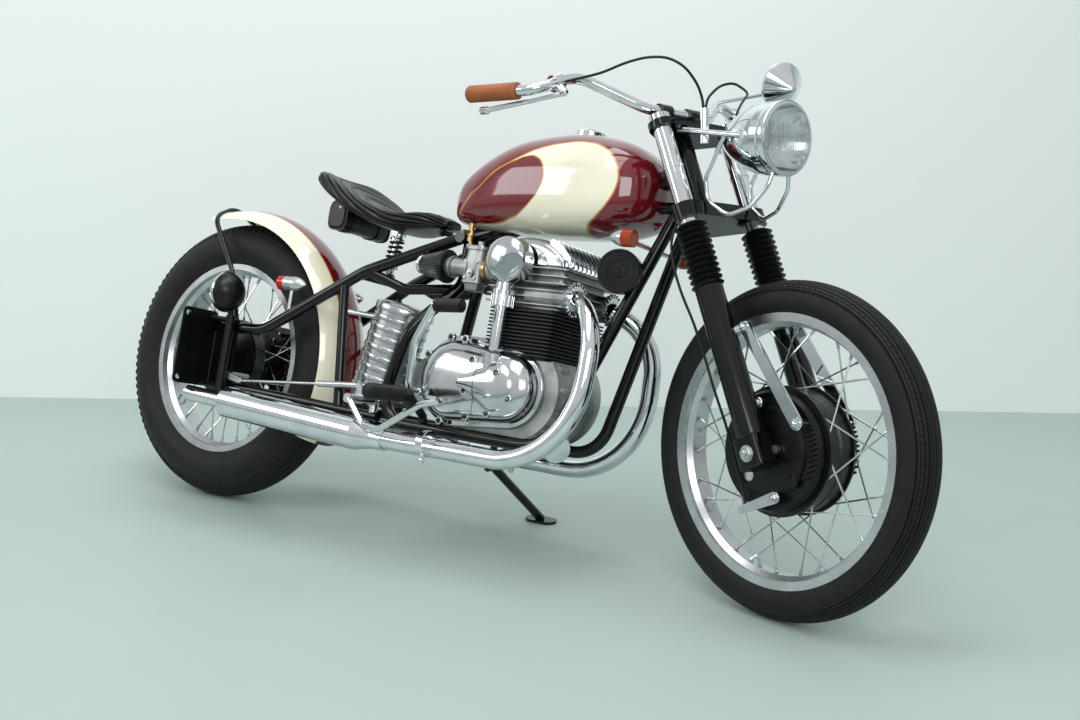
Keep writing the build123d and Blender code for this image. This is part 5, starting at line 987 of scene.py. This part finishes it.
# Rocker cover: a smooth hump carried across the head, drawn in towards its ends, with ribs at its front.
# Its outline gives places ahead of HUMP_X and above HUMP_Z
HUMP_X, HUMP_Z, HUMP_HALF = 872, 611.5, 96.0
HUMP = smooth_path([(-86, 0), (-87, 16), (-79, 35), (-60, 49), (-34, 56.5), (-6, 57), (22, 53), (46, 42),
                    (66, 29), (81, 14), (84, 0)], 6)
across_share = np.sin(np.linspace(-math.pi / 2, math.pi / 2, 61))
draw_in = (1 - np.abs(across_share) ** 7) ** (1 / 7)
hump = np.stack((HUMP_X + HUMP[None, :, 0] * (0.90 + 0.10 * draw_in[:, None]),
                 np.broadcast_to(HUMP_HALF * across_share[:, None], (61, len(HUMP))),
                 HUMP_Z + HUMP[None, :, 1] * (0.15 + 0.85 * draw_in[:, None])), -1)
rib_outline = [(904, 662), (912, 667), (936, 656), (962, 630), (962, 612), (930, 614)]
hump_ribs = [plate(rib_outline, np.zeros(3), AHEAD, UP, y - 1.4, y + 1.4, 0.5)
             for y in np.linspace(-84, 84, 11)]
piece("rocker_cover", joined(ringed(closed_ends(hump)), *hump_ribs),
      polished_alloy, "frame", sharp=40.0, replaces=("cam_cover",))

# Carburettors: a slide body with its cap, float bowl, spigots, rings and screws
bodies, carb_trim, carb_rings = [], [], []
for side in (-1, 1):
    place = np.array((728.0, side * 78.0, 592.0))
    bodies += [
        stacked([(-30, 0, 0), (-30, 22, 22), (-28, 24, 24), (20, 24, 24), (24, 22.5, 22.5), (40, 22.5, 22.5),
                 (40, 0, 0)], place, AHEAD, LEFT),
        stacked([(38, 0, 0), (38, 25, 25), (39, 26, 26), (45, 26, 26), (47, 24, 24), (49, 12, 12),
                 (50, 0, 0)], place, AHEAD, LEFT),
        stacked([(-48, 0, 0), (-48, 14, 14), (-46, 17, 17), (-34, 20, 20), (-32, 25, 25), (-27, 25, 25),
                 (-27, 0, 0)], place, AHEAD, LEFT),
        lathe([(0, 0), (21, 0), (21, 10), (24, 11), (24, 15), (19, 17), (19, 50), (25, 51), (25, 56),
               (27, 57), (27, 64), (22, 66), (22, 74), (0, 74)], place - (74, 0, 0), AHEAD, 48),
        lathe([(0, 0), (21, 0), (21, 24), (24, 25), (24, 34), (0, 34)], place + (20, 0, 0), AHEAD, 48),
        rod(place + (0, 0, 46), place + (0, 0, 58), 6.5),
        rod(place + (4, side * 20, -12), place + (4, side * 30, -12), 8),
    ]
    carb_trim += [cap_screw(place + (dx, dy, 46), UP, 3.4, 2.6, 4) for dx in (-19, 19) for dy in (-19, 19)]
    carb_trim += [cap_screw(place + (dx, side * 24, dz), (0, side, 0), 3.2, 2.4, 4)
                  for dx, dz in ((-15, 12), (15, 12), (-12, -22), (14, -22))]
    carb_trim.append(hex_nut(place + (4, side * 29, -12), (0, side, 0), 10, 4))
    carb_rings.append(closed_lathe([(21.2, 0), (24.6, 0.6), (24.6, 7.4), (21.2, 8)],
                                   place + (26, 0, 0), AHEAD, 48))
piece("carburettor_bodies", joined(*bodies), cast_alloy, "frame", sharp=40.0, replaces=("carburettors",))
piece("carburettor_screws", joined(*carb_trim), satin_alloy, "frame")
piece("inlet_rings", joined(*carb_rings), brass, "frame")

# Horn: a pressed face with rings and a centre nut in a rolled rim
horn_face = np.array((1072.0, -62.0, 612.0))
horn_profile = [
    (30, -1), (42.8, -0.5), (42.8, 29), (44, 30.5), (44, 35), (41.5, 36.8), (38.5, 36.6), (37.5, 34.9),
    (31, 34.9), (30, 36.4), (23, 36.8), (22, 35.3), (15, 35.6), (14, 37.6), (7, 38.2), (6.5, 41), (0, 41),
]
piece("horn_front", lathe(horn_profile, horn_face, (0.287, -0.958, 0.0), 72), black_plastic, "frame")

# Oil canister: a spun can with raised hoops, rivets on them and a domed lid
can_low, can_high = np.array((452.0, 0.0, 300.0)), np.array((492.0, 0.0, 500.0))
can_axis, can_across, can_over = frame_of(can_high - can_low)
can_length = np.linalg.norm(can_high - can_low)
can_profile, rivets = [(0, -0.6), (60, -0.6), (63.0, 2)], []
for hoop in (np.arange(9) + 0.5) / 9 * can_length:
    can_profile += [(63.0, hoop - 4.5), (64.6, hoop - 3), (65.0, hoop - 1), (65.0, hoop + 5),
                    (64.6, hoop + 7), (63.0, hoop + 8.5)]
    for angle in np.arange(8) / 4 * math.pi + 0.3:
        out = can_across * math.cos(angle) + can_over * math.sin(angle)
        rivets.append(lathe([(0, -1), (2.6, -1), (2.6, 0.4), (1.6, 1.3), (0, 1.6)],
                            can_low + can_axis * (hoop + 2) + out * 65.0, out, 10))
can_profile = can_profile[:-6] + [(63.0, can_length - 17), (67.0, can_length - 16), (67.4, can_length - 14),
                                  (67.4, can_length - 5), (66, can_length - 1), (58, can_length + 2),
                                  (40, can_length + 5), (20, can_length + 6.5), (0, can_length + 7)]
piece("canister_skin", joined(lathe(can_profile, can_low, can_axis, 96), *rivets), spun_alloy, "frame")

# Fuel tank: superellipse sections along a smooth line, round at the front, flat along the bottom
TANK_ROWS = np.array([
    # along, half width, bottom and top
    (611.7, 3, 724, 734), (613.5, 22, 713, 748), (620, 42, 702, 768), (634, 59, 693, 790),
    (655, 73, 688, 811), (705, 90, 684, 845), (774, 104.5, 682, 877), (860, 115, 682, 893),
    (934, 119, 685, 897), (1000, 117, 691, 889), (1040, 111, 699, 878), (1070, 98, 711, 860),
    (1090, 79, 726, 839), (1102, 52, 746, 814), (1106.5, 6, 776, 788),
])
rows = smooth_path(TANK_ROWS, 7)
turn = np.linspace(0, 2 * math.pi, 160, endpoint=False)[None]
wide = np.sign(np.cos(turn)) * np.abs(np.cos(turn)) ** 0.78
high = np.sign(np.sin(turn)) * np.abs(np.sin(turn)) ** np.where(np.sin(turn) < 0, 0.5, 0.85)
half_height = (rows[:, 3:] - rows[:, 2:3]) / 2
shell = np.stack((rows[:, :1] + 0 * turn, rows[:, 1:2] * wide, rows[:, 2:3] + half_height * (1 + high)), -1)
piece("tank_shell", ringed(closed_ends(shell)), tank_paint, "frame", sharp=60.0, replaces=("fuel_tank",))

# Front brakes: flat chrome torque links, lever arms and their bolts, louvres, plugs and the axle clamps
links, arms, louvres, plugs, clamps = [], [], [], [], []
for side in (-1, 1):
    out = side * LEFT
    low, high = on_fork(90, side * 77, 21), on_fork(42, side * 77, 228)
    links += [strap(low, high, 12.5, 11, 6.5, LEFT, 1.5), rod(low - out * 20, low + out * 3, 6),
              rod(high - out * 2, on_fork(2, side * 95, 226), 7)]
    links += [hex_nut(low + out * 3, out, 16, 8), hex_nut(high + out * 3, out, 14, 7)]
    for foot, tip, wide_end, tip_end in (((-4, -86), (-86, -83), 11, 7), ((21, 86), (-16, 84), 11, 9)):
        start, end = on_fork(foot[0], side * 78, foot[1]), on_fork(tip[0], side * 78, tip[1])
        arms += [strap(start, end, wide_end, tip_end, 5, LEFT), hex_nut(start + out * 2, out, 13, 6)]
    for step in range(10):
        up = 6.0 - 8.6 * step
        inner_reach, outer_reach = math.sqrt(90.0**2 - up**2), math.sqrt(108.0**2 - up**2)
        inner, outer = on_fork(inner_reach, side * 60.5, up), on_fork(outer_reach, side * 60.5, up)
        louvres.append(strap(inner, outer, 2.3, 2.3, 6, LEFT, 1.2))
    plugs.append(lathe([(0, -1), (11.5, -1), (11.5, 1.2), (9.5, 2.4), (0, 2.6)],
                       on_fork(-55, side * 66.5, -26), out, 36))
    louvres.append(lathe([(0, -1), (11.5, -1), (11.5, 1.4), (9.5, 2.6), (0, 2.6)],
                         on_fork(37, side * 66.5, -70), out, 36))
    clamps.append(stacked([(-30, 0, 0), (-30, 23, 25), (-27, 26, 28), (27, 26, 28), (30, 23, 25), (30, 0, 0)],
                          on_fork(0, side * 99, 0), LEFT, FORK_AHEAD, 7.0, 64))
    plugs += [hex_nut(on_fork(2, side * 124, -3), out, 22, 8, 2.5),
              rod(on_fork(24, side * 78, -5), on_fork(24, side * 68, -5), 9)]
piece("link_plates", joined(*links), chrome, "steering", steered=True, replaces=("torque_links",))
piece("brake_arms", joined(*arms), satin_alloy, "steering", steered=True)
piece("brake_louvres", joined(*louvres), satin_black, "steering", steered=True)
piece("brake_plugs", joined(*plugs), satin_alloy, "steering", steered=True)
piece("axle_clamps", joined(*clamps), frame_enamel, "steering", steered=True, sharp=40.0)

# Tail lamp: a red lens in a chrome rim, which faces the rear
tail_face = np.array((88.0, -160.0, 476.0))
lens_profile = [(0, -2), (40.5, -2), (40.5, 2), (37, 7), (27, 11.5), (14, 14), (0, 14.6)]
rim_profile = [(39.5, 4), (41.5, 5), (46, 1), (47.2, -3), (46.5, -7), (44.5, -7), (44.5, -2)]
piece("tail_lens", lathe(lens_profile, tail_face, -AHEAD, 64), red_acrylic, "frame")
piece("tail_rim", closed_lathe(rim_profile, tail_face, -AHEAD, 64), chrome, "frame")

# Nipples of the spokes at the rims
SPOKES, SPOKE_SWING = 36, math.radians(38.0)
for name, axle, flange, places, end_radius, body, steered in (
        ("rear_nipples", REAR_AXLE, 62.0, (-21.0, 36.0), 202.5, "rear_wheel", False),
        ("front_nipples", FRONT_AXLE, 117.0, (-34.0, 34.0), 227.4, "front_wheel", True)):
    nipples = []
    for index in range(SPOKES):
        hub_angle = math.radians(360.0 / SPOKES * index)
        rim_angle = hub_angle + (1 if (index // 2) % 2 else -1) * SPOKE_SWING
        start = np.array((flange * math.cos(hub_angle), places[index % 2], flange * math.sin(hub_angle)))
        end = np.array((end_radius * math.cos(rim_angle), 0.0, end_radius * math.sin(rim_angle)))
        way = (start - end) / np.linalg.norm(start - end)
        nipples.append(turned_on([(0, 0), (3.4, 0), (3.4, 0.45), (2.7, 0.55), (2.7, 1), (0, 1)],
                                 axle + end - way * 2, axle + end + way * 15, 8))
    piece(name, joined(*nipples), satin_alloy, body, steered)

# Fuel tap under the tank, and the oil filter's chrome cap under the crankcase
piece("filter_cup", lathe([(0, 0), (27, 0), (27, 40), (29, 42), (29, 56), (27, 59), (10, 60), (0, 60)],
                          (948, -40, 262), (0.75, -0.55, -0.25), 64), chrome, "frame")
piece("fuel_tap", joined(rod((684, -62, 690), (684, -62, 652), 6), rod((684, -62, 672), (684, -92, 668), 4),
                         lathe([(0, 0), (9, 0), (9, 10), (0, 10)], (684, -62, 664), (0, 0, 1), 6),
                         rod((684, -62, 656), (692, -62, 640), 4.5)), brass, "frame")

# Cylinder head: its own nuts, and smaller ones on the ends of the rocker cover
piece("head_nuts", joined(*[
    hex_nut((x, y, z), (0, 0, 1), 15, 8) for x, y, z in
    ((790, -70, 613), (954, -70, 613), (790, 70, 613), (954, 70, 613))], *[
    hex_nut((x, side * 96, z), side * LEFT, 11, 5) for x, z in ((900, 628), (936, 625)) for side in (-1, 1)]),
    chrome, "frame")

# Ribbed rubbers of the foot pegs and the kick starter
PEG_X, PEG_Z = 668.0, 308.0
piece("peg_rubbers", joined(*[
    ribbed((PEG_X - 0.8, side * 182.0, PEG_Z - 0.8), (PEG_X - 5.2, side * 286.0, PEG_Z - 5.2), 17.0, 14, 1.6)
    for side in (-1, 1)]), gaiter_rubber, "frame")
piece("kick_rubber", ribbed((714, -178, 498.3), (782, -178, 503.0), 14.6, 11, 1.3), gaiter_rubber, "frame")

# Exhaust clamps round the pipes ahead of the silencers
clamps = []
for side in (-1, 1):
    middle = np.array((736.0, side * 163.0, 216.0))
    clamps.append(lathe([(0, -9), (26.5, -9), (27.5, -8), (27.5, 8), (26.5, 9), (0, 9)],
                        middle, (1, 0, 0.02), 48))
    clamps.append(rod(middle + (0, -6, -24), middle + (0, -6, -40), 6))
    clamps.append(hex_nut(middle + (0, -8, -34), (0, -1, 0), 12, 6))
piece("exhaust_clamps", joined(*clamps), chrome, "frame")

# Axle nuts and washers of the rear wheel
piece("rear_axle_nuts", joined(*[
    hex_nut((0, side * 118.0, REAR_RADIUS), (0, side, 0), 27, 13, 3) for side in (-1, 1)]), chrome, "frame")

# Rear brake rod with its front sleeve, the pedal's arm, and the arm and spindle at the brake panel
ROD_FRONT, ROD_REAR = (505, -130, 312), (150, -130, 280)
PEDAL_PIVOT, CAM_PIVOT = (531, -130, 282), (92, -130, 292)
piece("brake_rod", joined(
    rod(ROD_FRONT, ROD_REAR, 3.2), strap(PEDAL_PIVOT, ROD_FRONT, 9, 6, 5, LEFT),
    rod((92, -50, 292), (92, -133, 292), 6), strap(CAM_PIVOT, ROD_REAR, 9, 6, 5, LEFT),
    rod((388, -130, 301.5), (500, -130, 311.5), 7)), satin_alloy, "frame")

# Screws of the number plate: two on its carrier and two at its edge
piece("plate_screws", joined(*[
    lathe([(0, -1), (5, -1), (5, 1), (3.6, 2.6), (0, 3)], (30.0, -171.3 + dy, 404.0), (-1, 0, 0), 20)
    for dy in (-32, 32)], *[
    lathe([(0, -1), (6, -1), (6, 2), (4, 3.6), (0, 4)], (34.0, -212.0, z), (1, 0, 0), 20)
    for z in (268.0, 416.0)]), chrome, "frame")

# Crankcase: lugs round the front of its right edge, each with a bolt and a nut
CASE_X, CASE_Z, LUG_RADIUS = 880, 352, 99
lugs = []
for angle in np.radians((-75.0, -48.0, -21.0, 6.0, 33.0)):
    place = np.array((CASE_X + LUG_RADIUS * math.cos(angle), 0.0, CASE_Z + LUG_RADIUS * math.sin(angle)))
    lugs += [rod(place - 72 * LEFT, place - 38 * LEFT, 9), rod(place - 77 * LEFT, place - 33 * LEFT, 4.5),
             hex_nut(place - 71 * LEFT, -LEFT, 10, 4)]
piece("crankcase_lugs", joined(*lugs), cast_alloy, "frame")

# Setting


def setting_plane(name, corners, colour, one_sided=False):
    """A plain pale sheet of the floor or the backdrop, which is not part of the motorcycle.

    A one-sided sheet is clear from behind.
    """
    mesh = bpy.data.meshes.new(name)
    mesh.from_pydata(corners, [], [(0, 1, 2, 3)])
    material, tree, shader = new_material(name + "_paint", colour, 0.55)
    worn_gloss(tree, shader, grain(tree, 400.0), 0.42, 0.6)
    if one_sided:
        seen = add_node(tree, "ShaderNodeNewGeometry", {}, "Backfacing")
        clear = add_node(tree, "ShaderNodeBsdfTransparent", {})
        blend = add_node(tree, "ShaderNodeMixShader", {0: seen, 1: shader.outputs[0], 2: clear})
        tree.links.new(blend, tree.nodes["Material Output"].inputs["Surface"])
    mesh.materials.append(material)
    sheet = bpy.data.objects.new(name, mesh)
    bpy.context.scene.collection.objects.link(sheet)
    return sheet


# The photograph's camera, solved from the wheels: metres, radians, and the focal length in its pixels
CAMERA_PLACE = np.array((1.79294, -2.51871, 0.92083))
CAMERA_YAW, CAMERA_PITCH, CAMERA_ROLL = 0.5988, -0.1731, -0.0151
FOCAL_PIXELS, PICTURE_WIDTH = 1416.78, 1080.0
FLOOR_HALF, FLOOR_LEVEL, WALL_DISTANCE, WALL_HEIGHT = 9, -0.0005, 4.43, 5

setting_plane("floor", [(x * FLOOR_HALF, y * FLOOR_HALF, FLOOR_LEVEL)
                        for x, y in ((-1, -1), (1, -1), (1, 1), (-1, 1))], "#a9bab5")
wall_out = np.array((-math.sin(CAMERA_YAW), math.cos(CAMERA_YAW), 0.0))
wall_along = np.array((math.cos(CAMERA_YAW), math.sin(CAMERA_YAW), 0.0)) * FLOOR_HALF
wall_foot = CAMERA_PLACE * (1, 1, 0) + wall_out * WALL_DISTANCE
wall_top = wall_foot + UP * WALL_HEIGHT
wall_corners = [wall_foot - wall_along, wall_foot + wall_along, wall_top + wall_along, wall_top - wall_along]
setting_plane("backdrop", [tuple(c) for c in wall_corners], "#e9eeee", one_sided=True)

world = bpy.data.worlds.new("studio_air")
bpy.context.scene.world = world
world.use_nodes = True
air = world.node_tree
direction = add_node(air, "ShaderNodeTexCoord", {}, "Generated")
height = add_node(air, "ShaderNodeSeparateXYZ", {"Vector": direction}, "Z")
share = add_node(air, RANGE, {"Value": height, "From Min": -1.0, "From Max": 1.0})
sky = add_node(air, "ShaderNodeValToRGB", {"Fac": share})
ramp = sky.node.color_ramp
for place, colour in ((0.0, "#8f9d99"), (0.49, "#9aa5a3"), (0.52, "#d9dfe0"), (0.7, "#eef1f2"),
                      (1.0, "#ffffff")):
    stop = ramp.elements.new(place)
    stop.color = linear(colour)
ramp.elements.remove(ramp.elements[0])
air.links.new(sky, air.nodes["Background"].inputs["Color"])
air.nodes["Background"].inputs["Strength"].default_value = 0.75


def soft_lamp(name, place, target, width, depth, power):
    """A large soft panel that faces a point."""
    light = bpy.data.lights.new(name, "AREA")
    light.shape, light.size, light.size_y, light.energy = "RECTANGLE", width, depth, power
    lamp = bpy.data.objects.new(name, light)
    bpy.context.scene.collection.objects.link(lamp)
    aim = np.asarray(place, float) - np.asarray(target, float)
    back, across, over = frame_of(aim)
    matrix = np.eye(4)
    matrix[:3, 0], matrix[:3, 1], matrix[:3, 2], matrix[:3, 3] = across, over, back, place
    lamp.matrix_world = Matrix(matrix.tolist())
    return lamp


soft_lamp("ceiling_panel", (0.2, -0.6, 3.4), (0.0, 0.0, 0.4), 3.4, 1.6, 60.0)
soft_lamp("front_panel", (2.6, -3.2, 2.4), (0.0, 0.0, 0.5), 2.2, 1.4, 45.0)
soft_lamp("side_panel", (-2.6, -2.6, 2.2), (-0.4, 0.0, 0.4), 1.8, 1.2, 25.0)

camera = bpy.data.cameras.new("camera")
camera.sensor_width = 36.0
camera.lens = FOCAL_PIXELS / PICTURE_WIDTH * camera.sensor_width
camera_holder = bpy.data.objects.new("camera", camera)
bpy.context.scene.collection.objects.link(camera_holder)


def turn_matrix(axis, angle):
    """Turn about X, Y or Z by an angle."""
    cosine, sine = math.cos(angle), math.sin(angle)
    a, b = [(1, 2), (2, 0), (0, 1)][axis]
    matrix = np.eye(3)
    matrix[a, a] = matrix[b, b] = cosine
    matrix[a, b], matrix[b, a] = -sine, sine
    return matrix


turn = turn_matrix(2, CAMERA_YAW) @ turn_matrix(0, CAMERA_PITCH) @ turn_matrix(1, CAMERA_ROLL)
stand = np.eye(4)
stand[:3, 0], stand[:3, 1], stand[:3, 2], stand[:3, 3] = turn[:, 0], turn[:, 2], -turn[:, 1], CAMERA_PLACE
camera_holder.matrix_world = Matrix(stand.tolist())
bpy.context.scene.camera = camera_holder
bpy.context.scene.view_settings.view_transform = "Standard"
